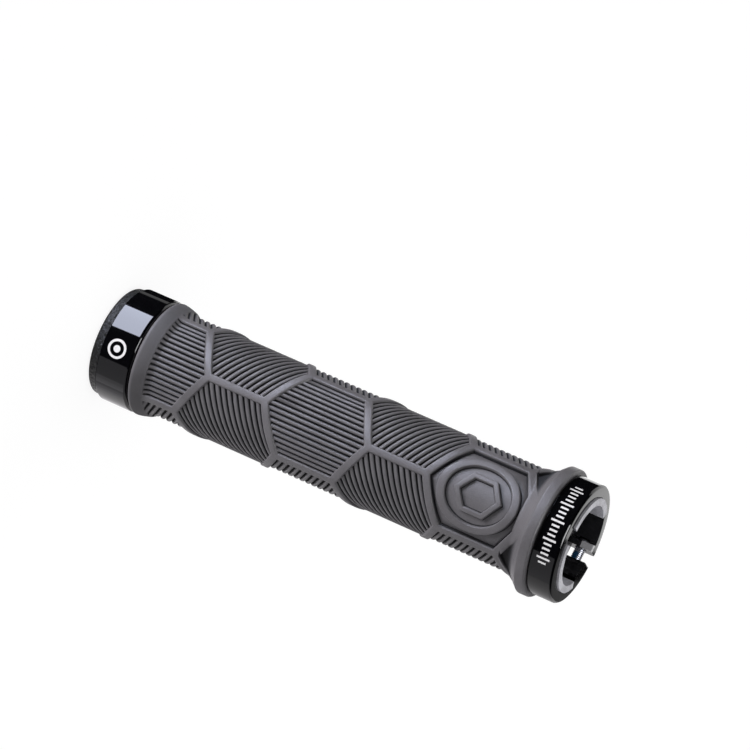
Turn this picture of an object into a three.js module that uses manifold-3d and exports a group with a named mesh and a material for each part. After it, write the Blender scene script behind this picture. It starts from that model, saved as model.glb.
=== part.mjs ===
// Lock-on handlebar grip: a ribbed rubber sleeve on a plastic core tube, held by a split clamp ring at
// each end, with a push-in plug in the outboard end. Millimetres. +Z runs along the grip from the flat
// face of the end plug, on which the grip stands, to the open inboard end. The side with the badge cell
// faces -Y.
import * as THREE from 'three';
import { mergeVertices } from 'three/addons/utils/BufferGeometryUtils.js';
import Module from 'manifold-3d';

const wasm = await Module();
wasm.setup();

const DEG = Math.PI / 180;

// The bar that the grip slides on, and how closely the pieces fit.
const BAR_DIAMETER = 22.2;
const BAR_CLEARANCE = 0.1;
const SEAT_GAP = 0.2;
const SLIP_GAP = 0.15;

// Core tube and the tabs that key it to the rings.
const CORE_WALL = 1.1;
const TAB_LENGTH = 7;
const TAB_WALL = 2;
const TAB_ANGLE = 116;
const TAB_GAP_ANGLE = 21;
const TAB_TURN = -4.5;

// Clamp rings.
const OUTER_RING_DIAMETER = 32;
const OUTER_RING_WIDTH = 9.8;
const INNER_RING_DIAMETER = 33;
const INNER_RING_WIDTH = 7;
const RING_CHAMFER = 0.7;
const SPLIT_WIDTH = 3.4;
const SPLIT_ANGLE = 168;
const LUG_REACH = 17;
const LUG_CLEARANCE = 17;

// Pinch bolts, M3 with a socket head, laid along a tangent in the wall of the ring.
const BOLT_DIAMETER = 3;
const BOLT_LENGTH = 8.3;
const BOLT_HEAD_DIAMETER = 4.4;
const BOLT_HEAD_LENGTH = 1.8;
const BOLT_HEAD_SETBACK = 3.3;
const BOLT_INSET = 3.05;
const SOCKET_ACROSS_FLATS = 2.5;
const SOCKET_DEPTH = 1.1;

// Rubber sleeve: radii of its raised bands, its collar and its flange.
const SLEEVE_LENGTH = 120.7;
const BAND_DIAMETER = 29.7;
const COLLAR_DIAMETER = 32;
const COLLAR_WIDTH = 1;
const COLLAR_SLOPE = 4.3;
const COLLAR_CURVE = 1.3;
const FLANGE_DIAMETER = 35.6;
const FLANGE_WIDTH = 3.4;
const FLANGE_SLOPE = 4;
const FLANGE_ROUND = 0.6;
const COLLAR_ROUND = 0.3;

// Honeycomb of raised bands, laid out flat: u runs along the axis, v round it.
const CELL_ROWS = 6;
const CELL_EDGE = 17.2;
const CELL_SLANT = 7;
const FIRST_CELL = 5.1;
const FRONT_SHARE = 0.8575;
const TURN = -4.6;
const BAND_WIDTH = 2.1;
const BAND_WALL = 0.2;
const PATTERN_INSET = 3;
const PANEL_MARGIN = 1.2;
const NOTCH_DEPTH = 0.7;

// Ribs inside each cell.
const RIBS_PER_CELL = 16;
const RIB_DROP = 0.5;
const GROOVE_DEPTH = 0.85;
const GROOVE_SHARE = 0.5;

// Plain badge: a raised ring round a raised hexagon.
const BADGE_DROP = 0.35;
const BADGE_SHIFT = -0.9;
const BADGE_STRETCH = 1.1;
const BADGE_RING_RADIUS = 10.4;
const BADGE_RING_WIDTH = 1.9;
const BADGE_HEXAGON_RADIUS = 6.3;
const BADGE_HEXAGON_WIDTH = 1.7;
const BADGE_WALL = 0.25;

// End plug.
const PLUG_HEAD_DIAMETER = 30.4;
const PLUG_HEAD_THICKNESS = 2.7;
const PLUG_HEAD_ROUND = 1;
const PLUG_STEM_DIAMETER = 17;
const PLUG_STEM_LENGTH = 14;
const PLUG_STEM_WALL = 2;
const PLUG_BARB_HEIGHT = 0.7;
const PLUG_BARBS = 2;

// Fineness of the faceted surfaces.
const ROUND_STEPS = 32;
const RING_STEPS = 36;
const CURVE_STEP = 20;

// Places along the axis, each from the piece before it.
const outerRingStart = PLUG_HEAD_THICKNESS + SEAT_GAP;
const sleeveStart = outerRingStart + OUTER_RING_WIDTH + SEAT_GAP;
const sleeveEnd = sleeveStart + SLEEVE_LENGTH;
const innerRingStart = sleeveEnd + SEAT_GAP;
const coreInner = BAR_DIAMETER / 2 + BAR_CLEARANCE;
const coreOuter = coreInner + CORE_WALL;
const tabOuter = coreInner + TAB_WALL;
const sleeveBore = coreOuter + SLIP_GAP;
const bandRadius = BAND_DIAMETER / 2;
const flangeStart = sleeveEnd - FLANGE_WIDTH - FLANGE_SLOPE;
const patternStart = sleeveStart + PATTERN_INSET;
const unrolledRadius = bandRadius * FRONT_SHARE;
const cellHalfHeight = unrolledRadius * 2 * Math.PI / CELL_ROWS;
const cellHalfLength = CELL_EDGE / 2 + CELL_SLANT;
const cellStep = CELL_EDGE + CELL_SLANT;

const rubber = new THREE.MeshStandardMaterial({ color: 0x4b4b4f, roughness: 0.72, metalness: 0 });
const corePlastic = new THREE.MeshStandardMaterial({ color: 0x8e8e92, roughness: 0.5, metalness: 0 });
const ringFinish = new THREE.MeshStandardMaterial({ color: 0x101012, roughness: 0.22, metalness: 0.6 });
const boltSteel = new THREE.MeshStandardMaterial({ color: 0xb9bcc2, roughness: 0.3, metalness: 1 });
const plugPlastic = new THREE.MeshStandardMaterial({ color: 0x2a2a2d, roughness: 0.65, metalness: 0 });

// Solids and cuts.

/** Closed solid of a geometry, with its faces pointing out. */
function solid(geometry) {
  const bare = geometry.clone();
  bare.deleteAttribute('normal');
  bare.deleteAttribute('uv');
  const merged = mergeVertices(bare, 1e-5);
  const places = new Float32Array(merged.attributes.position.array);
  const faces = dropFlatFaces(merged.index.array);
  if (signedVolume(places, faces) < 0) {
    for (let i = 0; i < faces.length; i += 3) {
      [faces[i + 1], faces[i + 2]] = [faces[i + 2], faces[i + 1]];
    }
  }
  return new wasm.Manifold(new wasm.Mesh({ numProp: 3, vertProperties: places, triVerts: faces }));
}

/** Faces without the ones that merging made into a line. */
function dropFlatFaces(index) {
  const kept = [];
  for (let i = 0; i < index.length; i += 3) {
    const [a, b, c] = [index[i], index[i + 1], index[i + 2]];
    if (a !== b && b !== c && c !== a) {
      kept.push(a, b, c);
    }
  }
  return new Uint32Array(kept);
}

/** Volume enclosed by the faces, negative when they point in. */
function signedVolume(places, faces) {
  const corner = (i) => new THREE.Vector3().fromArray(places, faces[i] * 3);
  let volume = 0;
  for (let i = 0; i < faces.length; i += 3) {
    volume += corner(i).dot(corner(i + 1).cross(corner(i + 2))) / 6;
  }
  return volume;
}

/** Geometry of a solid. */
function geometryOf(shape) {
  const mesh = shape.getMesh();
  const geometry = new THREE.BufferGeometry();
  const places = new Float32Array(mesh.numVert * 3);
  for (let i = 0; i < mesh.numVert; i += 1) {
    for (let k = 0; k < 3; k += 1) {
      places[i * 3 + k] = mesh.vertProperties[i * mesh.numProp + k];
    }
  }
  geometry.setAttribute('position', new THREE.BufferAttribute(places, 3));
  geometry.setIndex(Array.from(mesh.triVerts));
  geometry.computeVertexNormals();
  return geometry;
}

/** Solid of revolution about Z from a closed profile of [radius, z] corners. */
function revolved(profile, steps) {
  const corners = profile.map(([radius, z]) => new THREE.Vector2(radius, z));
  const geometry = new THREE.LatheGeometry(corners, steps);
  geometry.rotateX(Math.PI / 2);
  return solid(geometry);
}

/** Point at a radius and an angle round the axis, counted from -Y towards +X. */
function around(radius, angle) {
  return new THREE.Vector2(radius * Math.sin(angle * DEG), -radius * Math.cos(angle * DEG));
}

/** Block that fills a sector of a ring between two radii and two heights. */
function sectorBlock(inner, outer, middle, width, low, high) {
  const steps = Math.max(2, Math.ceil(width / (360 / RING_STEPS)));
  const outline = [];
  for (let i = 0; i <= steps; i += 1) {
    outline.push(around(outer, middle - width / 2 + width * i / steps));
  }
  for (let i = steps; i >= 0; i -= 1) {
    outline.push(around(inner, middle - width / 2 + width * i / steps));
  }
  const shape = new THREE.Shape(outline);
  const geometry = new THREE.ExtrudeGeometry(shape, { depth: high - low, bevelEnabled: false });
  geometry.translate(0, 0, low);
  return solid(geometry);
}

/** Angles of the two tabs, which leave a narrow gap in front and a wide one round the split. */
function tabAngles() {
  const off = (TAB_ANGLE + TAB_GAP_ANGLE) / 2;
  return [TAB_TURN - off, TAB_TURN + off];
}

// Clamp rings and bolts.

/** Cylinder along X between two places on the axis of a bolt. */
function alongBolt(diameter, from, to, steps) {
  const geometry = new THREE.CylinderGeometry(diameter / 2, diameter / 2, to - from, steps);
  geometry.rotateZ(-Math.PI / 2);
  geometry.translate((from + to) / 2, 0, 0);
  return geometry;
}

/** Frame of the pinch bolt of a ring with this diameter, whose middle is at height z. */
function boltFrame(diameter, z) {
  const place = around(diameter / 2 - BOLT_INSET, SPLIT_ANGLE);
  const frame = new THREE.Matrix4().makeRotationZ(SPLIT_ANGLE * DEG);
  frame.setPosition(place.x, place.y, z);
  return frame;
}

/** Split clamp ring that fits over the core's tabs, with a bored lug for its bolt. */
function clampRing(diameter, width, start) {
  const outer = diameter / 2;
  const bore = tabOuter + SLIP_GAP;
  const profile = [
    [bore, start],
    [outer - RING_CHAMFER, start],
    [outer, start + RING_CHAMFER],
    [outer, start + width - RING_CHAMFER],
    [outer - RING_CHAMFER, start + width],
    [bore, start + width],
    [bore, start],
  ];
  const lugOuter = (bore + outer - RING_CHAMFER) / 2;
  const from = TAB_TURN + TAB_GAP_ANGLE / 2 + TAB_ANGLE + LUG_CLEARANCE;
  const to = SPLIT_ANGLE + LUG_REACH;
  const lug = sectorBlock(coreInner, lugOuter, (from + to) / 2, to - from, start, start + width);
  let ring = revolved(profile, RING_STEPS).add(lug);
  const split = new THREE.BoxGeometry(SPLIT_WIDTH, outer, width * 2);
  split.translate(0, -(coreInner / 2 + outer / 2), start + width / 2);
  split.rotateZ(SPLIT_ANGLE * DEG);
  ring = ring.subtract(solid(split));
  const frame = boltFrame(diameter, start + width / 2);
  const headSeat = -BOLT_HEAD_SETBACK;
  const hole = alongBolt(BOLT_DIAMETER + 2 * SLIP_GAP, headSeat - 1, boltTip() + SEAT_GAP, 16);
  const pocket = alongBolt(BOLT_HEAD_DIAMETER + 4 * SLIP_GAP, -outer, headSeat, 20);
  ring = ring.subtract(solid(hole.applyMatrix4(frame)));
  ring = ring.subtract(solid(pocket.applyMatrix4(frame)));
  return geometryOf(ring);
}

/** How far the bolt reaches past the middle of the split. */
function boltTip() {
  return BOLT_LENGTH - BOLT_HEAD_SETBACK;
}

/** Socket head bolt along X, its origin in the middle of the split. */
function pinchBolt() {
  const seat = -BOLT_HEAD_SETBACK - SLIP_GAP;
  const back = seat - BOLT_HEAD_LENGTH;
  const shank = solid(alongBolt(BOLT_DIAMETER, seat - BOLT_HEAD_LENGTH / 4, boltTip(), 16));
  const head = solid(alongBolt(BOLT_HEAD_DIAMETER, back, seat, 20));
  const socketDiameter = SOCKET_ACROSS_FLATS / Math.cos(30 * DEG);
  const socket = solid(alongBolt(socketDiameter, back - 1, back + SOCKET_DEPTH, 6));
  return geometryOf(head.add(shank).subtract(socket));
}

// Core tube and end plug.

/** Plastic tube under the rubber, with two thicker tabs at each end. */
function coreTube() {
  const profile = [
    [coreInner, sleeveStart],
    [coreOuter, sleeveStart],
    [coreOuter, sleeveEnd],
    [coreInner, sleeveEnd],
    [coreInner, sleeveStart],
  ];
  let tube = revolved(profile, RING_STEPS);
  for (const [face, way] of [[sleeveStart, -1], [sleeveEnd, 1]]) {
    const tip = face + way * TAB_LENGTH;
    const foot = face + way * SLIP_GAP;
    const root = face - way;
    for (const angle of tabAngles()) {
      const ends = (a, b) => [Math.min(a, b), Math.max(a, b)];
      const neck = [coreInner + SLIP_GAP, coreOuter - SLIP_GAP];
      tube = tube.add(sectorBlock(...neck, angle, TAB_ANGLE - 2, ...ends(root, foot + way)));
      tube = tube.add(sectorBlock(coreInner, tabOuter, angle, TAB_ANGLE, ...ends(foot, tip)));
    }
  }
  return geometryOf(tube);
}

/** Round plug: flat head with a rounded rim, and a hollow stem with barbs that grip inside the bar. */
function endPlug() {
  const head = PLUG_HEAD_DIAMETER / 2;
  const stem = PLUG_STEM_DIAMETER / 2;
  const round = PLUG_HEAD_ROUND;
  const profile = [[0, 0], [head - round, 0]];
  for (const angle of [30, 60, 90]) {
    const across = round * Math.sin(angle * DEG);
    profile.push([head - round + across, round - round * Math.cos(angle * DEG)]);
  }
  profile.push([head, PLUG_HEAD_THICKNESS], [stem, PLUG_HEAD_THICKNESS]);
  const pitch = PLUG_STEM_LENGTH / (PLUG_BARBS + 1);
  for (let i = 1; i <= PLUG_BARBS; i += 1) {
    const z = PLUG_HEAD_THICKNESS + pitch * i;
    profile.push([stem, z], [stem + PLUG_BARB_HEIGHT, z + pitch * 0.2], [stem, z + pitch * 0.8]);
  }
  const top = PLUG_HEAD_THICKNESS + PLUG_STEM_LENGTH;
  profile.push([stem, top], [stem - PLUG_STEM_WALL, top]);
  profile.push([stem - PLUG_STEM_WALL, PLUG_HEAD_THICKNESS], [0, PLUG_HEAD_THICKNESS]);
  return geometryOf(revolved(profile, ROUND_STEPS));
}

// Rubber sleeve.

/** Triangles of the sleeve, with the points at one place kept once. */
class SkinBuilder {
  constructor() {
    this.places = [];
    this.faces = [];
    this.known = new Map();
  }

  /** Index of the point at u along the axis, v round it, and height over the bands. */
  point(u, v, height) {
    return this.pointAt(bandLevel(u) + height, turned(v), u);
  }

  /** Index of the point at a radius, an angle round the grip and a height along the axis. */
  pointAt(radius, angle, z) {
    const flat = around(radius, angle);
    const key = [flat.x, flat.y, z].map((value) => Math.round(value * 1e4 + 0.3137)).join(',');
    if (!this.known.has(key)) {
      this.known.set(key, this.places.length / 3);
      this.places.push(flat.x, flat.y, z);
    }
    return this.known.get(key);
  }

  face(a, b, c) {
    if (a !== b && b !== c && c !== a) {
      this.faces.push(a, b, c);
    }
  }

  /** Fills between two lines of points from the first to the last of each, by their positions. */
  stitch(low, high) {
    let i = 0;
    let j = 0;
    while (i < low.length - 1 || j < high.length - 1) {
      const nextLow = i < low.length - 1 ? low[i + 1].at : Infinity;
      const nextHigh = j < high.length - 1 ? high[j + 1].at : Infinity;
      if (nextLow <= nextHigh) {
        this.face(low[i].index, low[i + 1].index, high[j].index);
        i += 1;
      } else {
        this.face(low[i].index, high[j + 1].index, high[j].index);
        j += 1;
      }
    }
  }

  /** Fills between an outer loop and the loop inside it, both seen from a middle. */
  stitchLoops(outer, inner, middle) {
    const outerLine = loopByAngle(outer, middle);
    this.stitch(outerLine, loopByAngle(inner, middle));
  }

  /** Fills a small loop from its middle point. */
  fan(loop, middleIndex) {
    loop.forEach((corner, i) => {
      this.face(corner.index, loop[(i + 1) % loop.length].index, middleIndex);
    });
  }

  geometry() {
    const geometry = new THREE.BufferGeometry();
    geometry.setAttribute('position', new THREE.BufferAttribute(new Float32Array(this.places), 3));
    geometry.setIndex(this.faces);
    return geometry;
  }
}

/** Loop opened at angle zero as seen from its middle, with each point's angle. */
function loopByAngle(loop, middle) {
  const line = loop.map((point) => {
    const angle = Math.atan2(point.v - middle.v, point.u - middle.u);
    return { ...point, at: angle < -1e-9 ? angle + 2 * Math.PI : Math.max(angle, 0) };
  });
  line.sort((a, b) => a.at - b.at);
  line.push({ ...line[0], at: line[0].at + 2 * Math.PI });
  return line;
}

/** Angle from 0 to 360 round the grip for a place v of the pattern, which is packed closer in front. */
function turned(v) {
  const share = ((v / unrolledRadius / Math.PI + 1) % 2 + 2) % 2 - 1;
  const angle = 180 * (FRONT_SHARE * share + (1 - FRONT_SHARE) * share ** 3) + TURN;
  return (angle + 360) % 360;
}

/** Radius of the raised bands, which rise into the collar and the flange. */
function bandLevel(u) {
  const fromCollar = (u - sleeveStart - COLLAR_WIDTH) / COLLAR_SLOPE;
  if (fromCollar < 1) {
    const rise = 1 - Math.max(fromCollar, 0) ** COLLAR_CURVE;
    return bandRadius + (COLLAR_DIAMETER / 2 - bandRadius) * rise;
  }
  const along = Math.min(Math.max((u - flangeStart) / FLANGE_SLOPE, 0), 1);
  return bandRadius + (FLANGE_DIAMETER / 2 - bandRadius) * along * along * (3 - 2 * along);
}

/** Convex outline cut by the line through which side points away. */
function cutOutline(outline, side) {
  const over = (p) => p.u * side.u + p.v * side.v - side.reach;
  const kept = [];
  outline.forEach((p, i) => {
    const q = outline[(i + 1) % outline.length];
    const a = over(p);
    const b = over(q);
    if (a <= 0) {
      kept.push(p);
    }
    if ((a < 0 && b > 0) || (a > 0 && b < 0)) {
      kept.push({ u: p.u + (q.u - p.u) * a / (a - b), v: p.v + (q.v - p.v) * a / (a - b) });
    }
  });
  return kept;
}

/** Directions across the three pairs of sides of a cell, with the distance to each side. */
function cellSides() {
  const slope = Math.hypot(CELL_SLANT, cellHalfHeight);
  const slantReach = cellHalfLength * cellHalfHeight / slope;
  return [
    { u: 0, v: 1, reach: cellHalfHeight },
    { u: cellHalfHeight / slope, v: CELL_SLANT / slope, reach: slantReach },
    { u: -cellHalfHeight / slope, v: CELL_SLANT / slope, reach: slantReach },
  ];
}

/** Outline of a cell drawn in from its sides and cut to a stretch of the axis. */
function cellOutline(cell, inset, low, high) {
  const far = 2 * cellHalfLength;
  let outline = [
    { u: cell.u - far, v: cell.v - far },
    { u: cell.u + far, v: cell.v - far },
    { u: cell.u + far, v: cell.v + far },
    { u: cell.u - far, v: cell.v + far },
  ];
  for (const side of cellSides()) {
    const offset = side.u * cell.u + side.v * cell.v;
    const reach = side.reach - inset;
    outline = cutOutline(outline, { ...side, reach: offset + reach });
    outline = cutOutline(outline, { u: -side.u, v: -side.v, reach: reach - offset });
  }
  outline = cutOutline(outline, { u: -1, v: 0, reach: -low });
  return cutOutline(outline, { u: 1, v: 0, reach: high });
}

/** Area of an outline. */
function outlineArea(outline) {
  let area = 0;
  outline.forEach((p, i) => {
    const q = outline[(i + 1) % outline.length];
    area += (p.u * q.v - q.u * p.v) / 2;
  });
  return area;
}

/** Middle of an outline's corners. */
function outlineMiddle(outline) {
  const sum = outline.reduce((total, p) => ({ u: total.u + p.u, v: total.v + p.v }), { u: 0, v: 0 });
  return { u: sum.u / outline.length, v: sum.v / outline.length };
}

/** Points along a straight line of the pattern, close enough to follow the curve round the grip. */
function pointsAlong(skin, from, to, heightAt) {
  const steps = Math.max(1, Math.ceil(Math.abs(to.v - from.v) / (unrolledRadius * CURVE_STEP * DEG) - 1e-6));
  const points = [];
  for (let i = 0; i <= steps; i += 1) {
    const u = from.u + (to.u - from.u) * i / steps;
    const v = from.v + (to.v - from.v) * i / steps;
    points.push({ u, v, at: i / steps, index: skin.point(u, v, heightAt) });
  }
  return points;
}

/** Loop of points round an outline at one height over the bands. */
function loopRound(skin, outline, height) {
  const loop = [];
  outline.forEach((p, i) => {
    const q = outline[(i + 1) % outline.length];
    const points = pointsAlong(skin, p, q, height);
    loop.push(...points.slice(0, -1));
  });
  return loop;
}

/** The stretch of a line across a convex outline, at a distance t from the cell's middle. */
function chord(outline, along, across, t) {
  const hits = [];
  outline.forEach((p, i) => {
    const q = outline[(i + 1) % outline.length];
    const a = p.u * across.u + p.v * across.v - t;
    const b = q.u * across.u + q.v * across.v - t;
    if ((a <= 0 && b > 0) || (a > 0 && b <= 0)) {
      const share = a / (a - b);
      hits.push({ u: p.u + (q.u - p.u) * share, v: p.v + (q.v - p.v) * share });
    }
  });
  hits.sort((p, q) => (p.u * along.u + p.v * along.v) - (q.u * along.u + q.v * along.v));
  return hits.length < 2 ? null : [hits[0], hits[hits.length - 1]];
}

/** Ribbed floor of a cell. Returns the loop of points round it. */
function ribbedPanel(skin, cell, outline, sideIndex) {
  const side = cellSides()[sideIndex];
  const across = { u: side.u, v: side.v };
  const along = { u: side.v, v: -side.u };
  const middle = cell.u * across.u + cell.v * across.v;
  const reach = side.reach - BAND_WIDTH / 2 - BAND_WALL;
  const pitch = 2 * reach / RIBS_PER_CELL;
  const flank = pitch * GROOVE_SHARE / 2;
  const lines = [];
  for (let rib = 0; rib <= RIBS_PER_CELL; rib += 1) {
    const groove = -reach + rib * pitch;
    lines.push({ t: groove, height: -RIB_DROP - GROOVE_DEPTH });
    lines.push({ t: groove + flank, height: -RIB_DROP });
    lines.push({ t: groove + pitch - flank, height: -RIB_DROP });
  }
  const edge = 1e-4;
  const rows = [];
  for (const line of lines) {
    const t = Math.min(Math.max(line.t, -reach + edge), reach - edge);
    const ends = line.t > reach + edge ? null : chord(outline, along, across, middle + t);
    if (ends && Math.hypot(ends[1].u - ends[0].u, ends[1].v - ends[0].v) > BAND_WALL) {
      rows.push(pointsAlong(skin, ends[0], ends[1], line.height));
    }
  }
  for (let i = 0; i < rows.length - 1; i += 1) {
    skin.stitch(rows[i], rows[i + 1]);
  }
  const first = rows[0];
  const last = rows[rows.length - 1];
  const loop = [...first];
  for (const row of rows.slice(1, -1)) {
    loop.push(row[row.length - 1]);
  }
  loop.push(...[...last].reverse());
  for (const row of rows.slice(1, -1).reverse()) {
    loop.push(row[0]);
  }
  return loop;
}

/** Corners of a regular outline round the badge's middle, stretched along the axis. */
function regularLoop(skin, cell, radius, corners, height) {
  const steps = 24 / corners;
  const loop = [];
  for (let i = 0; i < corners; i += 1) {
    for (let k = 0; k < steps; k += 1) {
      const a = 2 * Math.PI * i / corners;
      const b = 2 * Math.PI * (i + 1) / corners;
      const along = Math.cos(a) + (Math.cos(b) - Math.cos(a)) * k / steps;
      const u = cell.u + BADGE_SHIFT + BADGE_STRETCH * radius * along;
      const v = cell.v + radius * (Math.sin(a) + (Math.sin(b) - Math.sin(a)) * k / steps);
      loop.push({ u, v, index: skin.point(u, v, height) });
    }
  }
  return loop;
}

/** Smooth floor of the badge cell with a raised ring and a raised hexagon in it. */
function badgePanel(skin, cell, outline) {
  const floor = -RIB_DROP - GROOVE_DEPTH;
  const edge = loopRound(skin, outline, floor);
  const loops = [edge];
  const middle = { u: cell.u + BADGE_SHIFT, v: cell.v };
  const ridge = (radius, width, corners) => {
    loops.push(regularLoop(skin, cell, radius, corners, floor));
    loops.push(regularLoop(skin, cell, radius - BADGE_WALL, corners, -BADGE_DROP));
    loops.push(regularLoop(skin, cell, radius - width + BADGE_WALL, corners, -BADGE_DROP));
    loops.push(regularLoop(skin, cell, radius - width, corners, floor));
  };
  ridge(BADGE_RING_RADIUS, BADGE_RING_WIDTH, 24);
  ridge(BADGE_HEXAGON_RADIUS, BADGE_HEXAGON_WIDTH, 6);
  loops.push(regularLoop(skin, cell, (BADGE_HEXAGON_RADIUS - BADGE_HEXAGON_WIDTH) / 2, 6, floor));
  for (let i = 0; i < loops.length - 1; i += 1) {
    skin.stitchLoops(loops[i], loops[i + 1], middle);
  }
  skin.fan(loops[loops.length - 1], skin.point(middle.u, middle.v, floor));
  return edge;
}

/** One cell of the honeycomb: its half of the bands round it, and its floor. */
function cellSkin(skin, cell, patternEnd) {
  const outline = cellOutline(cell, 0, patternStart, patternEnd);
  if (outline.length < 3 || outlineArea(outline) < 1e-6) {
    return;
  }
  const rim = loopRound(skin, outline, 0);
  const low = patternStart + PANEL_MARGIN;
  const high = patternEnd - PANEL_MARGIN / 2;
  const bandEdge = cellOutline(cell, BAND_WIDTH / 2, low, high);
  const floor = cellOutline(cell, BAND_WIDTH / 2 + BAND_WALL, low + BAND_WALL, high - BAND_WALL);
  const roomy = floor.length > 2 && outlineArea(floor) > BAND_WIDTH * cellHalfHeight;
  if (!roomy) {
    const middle = outlineMiddle(outline);
    const dip = cell.row % 2 ? NOTCH_DEPTH : 0;
    skin.fan(rim, skin.point(middle.u, middle.v, -dip));
    return;
  }
  const bandLoop = loopRound(skin, bandEdge, 0);
  const badged = cell.row === 0 && cell.last;
  const panelLoop = badged ? badgePanel(skin, cell, floor) : ribbedPanel(skin, cell, floor, cell.side);
  const middle = outlineMiddle(floor);
  skin.stitchLoops(rim, bandLoop, middle);
  skin.stitchLoops(bandLoop, panelLoop, middle);
}

/** Every cell of the honeycomb, with the pair of its sides that its ribs follow. */
function honeycombCells(patternEnd) {
  const ribSides = [0, 2, 1, 0, 2, 1];
  const cells = [];
  for (let row = 0; row < CELL_ROWS; row += 1) {
    const shift = row % 2 === 0 ? 0 : cellStep;
    const first = sleeveStart + FIRST_CELL + shift - 2 * cellStep;
    const badgeReach = BADGE_RING_RADIUS * BADGE_STRETCH + BADGE_SHIFT;
    const badgeEnd = patternEnd - PANEL_MARGIN / 2 - BAND_WALL - badgeReach;
    for (let u = first; u - cellHalfLength < patternEnd; u += 2 * cellStep) {
      if (u + cellHalfLength > patternStart) {
        const last = u <= badgeEnd && u + 2 * cellStep > badgeEnd;
        cells.push({ u, v: row * cellHalfHeight, row, side: ribSides[row], last });
      }
    }
  }
  return cells;
}

/** Ring of points round the grip at one radius and height. */
function roundRing(skin, radius, z) {
  const ring = [];
  for (let i = 0; i < ROUND_STEPS; i += 1) {
    const angle = 360 * i / ROUND_STEPS;
    ring.push({ at: angle, index: skin.pointAt(radius, angle, z) });
  }
  return closedRing(ring);
}

/** Ring with its first point repeated a full turn later. */
function closedRing(ring) {
  return [...ring, { ...ring[0], at: ring[0].at + 360 }];
}

/** Ring of the pattern's own points where it meets the collar or the flange. */
function patternRing(skin, cells, u, patternEnd) {
  const found = new Map();
  for (const cell of cells) {
    const outline = cellOutline(cell, 0, patternStart, patternEnd);
    for (const point of loopRound(skin, outline, 0)) {
      if (Math.abs(point.u - u) < 1e-6) {
        found.set(point.index, { at: turned(point.v), index: point.index });
      }
    }
  }
  const ring = [...found.values()].sort((a, b) => a.at - b.at);
  return closedRing(ring);
}

/** The moulded sleeve: honeycomb, collar, flange and bore in one closed skin. */
function rubberSleeve() {
  const skin = new SkinBuilder();
  const patternEnd = flangeStart;
  const cells = honeycombCells(patternEnd);
  for (const cell of cells) {
    cellSkin(skin, cell, patternEnd);
  }
  const flange = FLANGE_DIAMETER / 2;
  const rings = [patternRing(skin, cells, patternEnd, patternEnd)];
  for (const share of [0.3, 0.5, 0.7, 1]) {
    const z = flangeStart + FLANGE_SLOPE * share;
    rings.push(roundRing(skin, bandLevel(z), z));
  }
  rings.push(roundRing(skin, flange, sleeveEnd - FLANGE_ROUND));
  rings.push(roundRing(skin, flange - FLANGE_ROUND, sleeveEnd));
  rings.push(roundRing(skin, sleeveBore, sleeveEnd));
  rings.push(roundRing(skin, sleeveBore, sleeveStart));
  rings.push(roundRing(skin, COLLAR_DIAMETER / 2 - COLLAR_ROUND, sleeveStart));
  rings.push(roundRing(skin, COLLAR_DIAMETER / 2, sleeveStart + COLLAR_ROUND));
  rings.push(roundRing(skin, COLLAR_DIAMETER / 2, sleeveStart + COLLAR_WIDTH));
  rings.push(patternRing(skin, cells, patternStart, patternEnd));
  for (let i = 0; i < rings.length - 1; i += 1) {
    skin.stitch(rings[i + 1], rings[i]);
  }
  return geometryOf(solid(skin.geometry()));
}

// The grip.

/** Named mesh of one piece. */
function piece(name, geometry, material) {
  const mesh = new THREE.Mesh(geometry, material);
  mesh.name = name;
  return mesh;
}

/** Pinch bolt set in the split of a ring with this diameter, whose middle is at height z. */
function placedBolt(name, diameter, z) {
  const bolt = piece(name, pinchBolt(), boltSteel);
  const place = around(diameter / 2 - BOLT_INSET, SPLIT_ANGLE);
  bolt.position.set(place.x, place.y, z);
  bolt.rotation.z = SPLIT_ANGLE * DEG;
  return bolt;
}

const outerRing = clampRing(OUTER_RING_DIAMETER, OUTER_RING_WIDTH, outerRingStart);
const innerRing = clampRing(INNER_RING_DIAMETER, INNER_RING_WIDTH, innerRingStart);

const grip = new THREE.Group();
grip.add(piece('rubber_sleeve', rubberSleeve(), rubber));
grip.add(piece('core_tube', coreTube(), corePlastic));
grip.add(piece('outer_clamp_ring', outerRing, ringFinish));
grip.add(piece('inner_clamp_ring', innerRing, ringFinish));
const outerMiddle = outerRingStart + OUTER_RING_WIDTH / 2;
const innerMiddle = innerRingStart + INNER_RING_WIDTH / 2;
grip.add(placedBolt('outer_clamp_bolt', OUTER_RING_DIAMETER, outerMiddle));
grip.add(placedBolt('inner_clamp_bolt', INNER_RING_DIAMETER, innerMiddle));
grip.add(piece('end_plug', endPlug(), plugPlastic));
grip.updateMatrixWorld(true);

export default grip;
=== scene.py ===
"""Dressed model of a lock-on handlebar grip, in metres, in the frame of its CAD solids.

The grip stands on the flat face of its end plug, with +Z along it to the open inboard end. Angles
round the grip are counted from -Y, the side of the badge cell, towards +X. The sizes that the
classes hold are in millimetres, apart from the distances and sizes of the lamps and the floor.
"""

import logging
import math
from dataclasses import dataclass, field
from enum import Enum
from typing import Callable, Optional, Sequence

import bmesh
import bpy
from mathutils import Matrix, Vector

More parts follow.
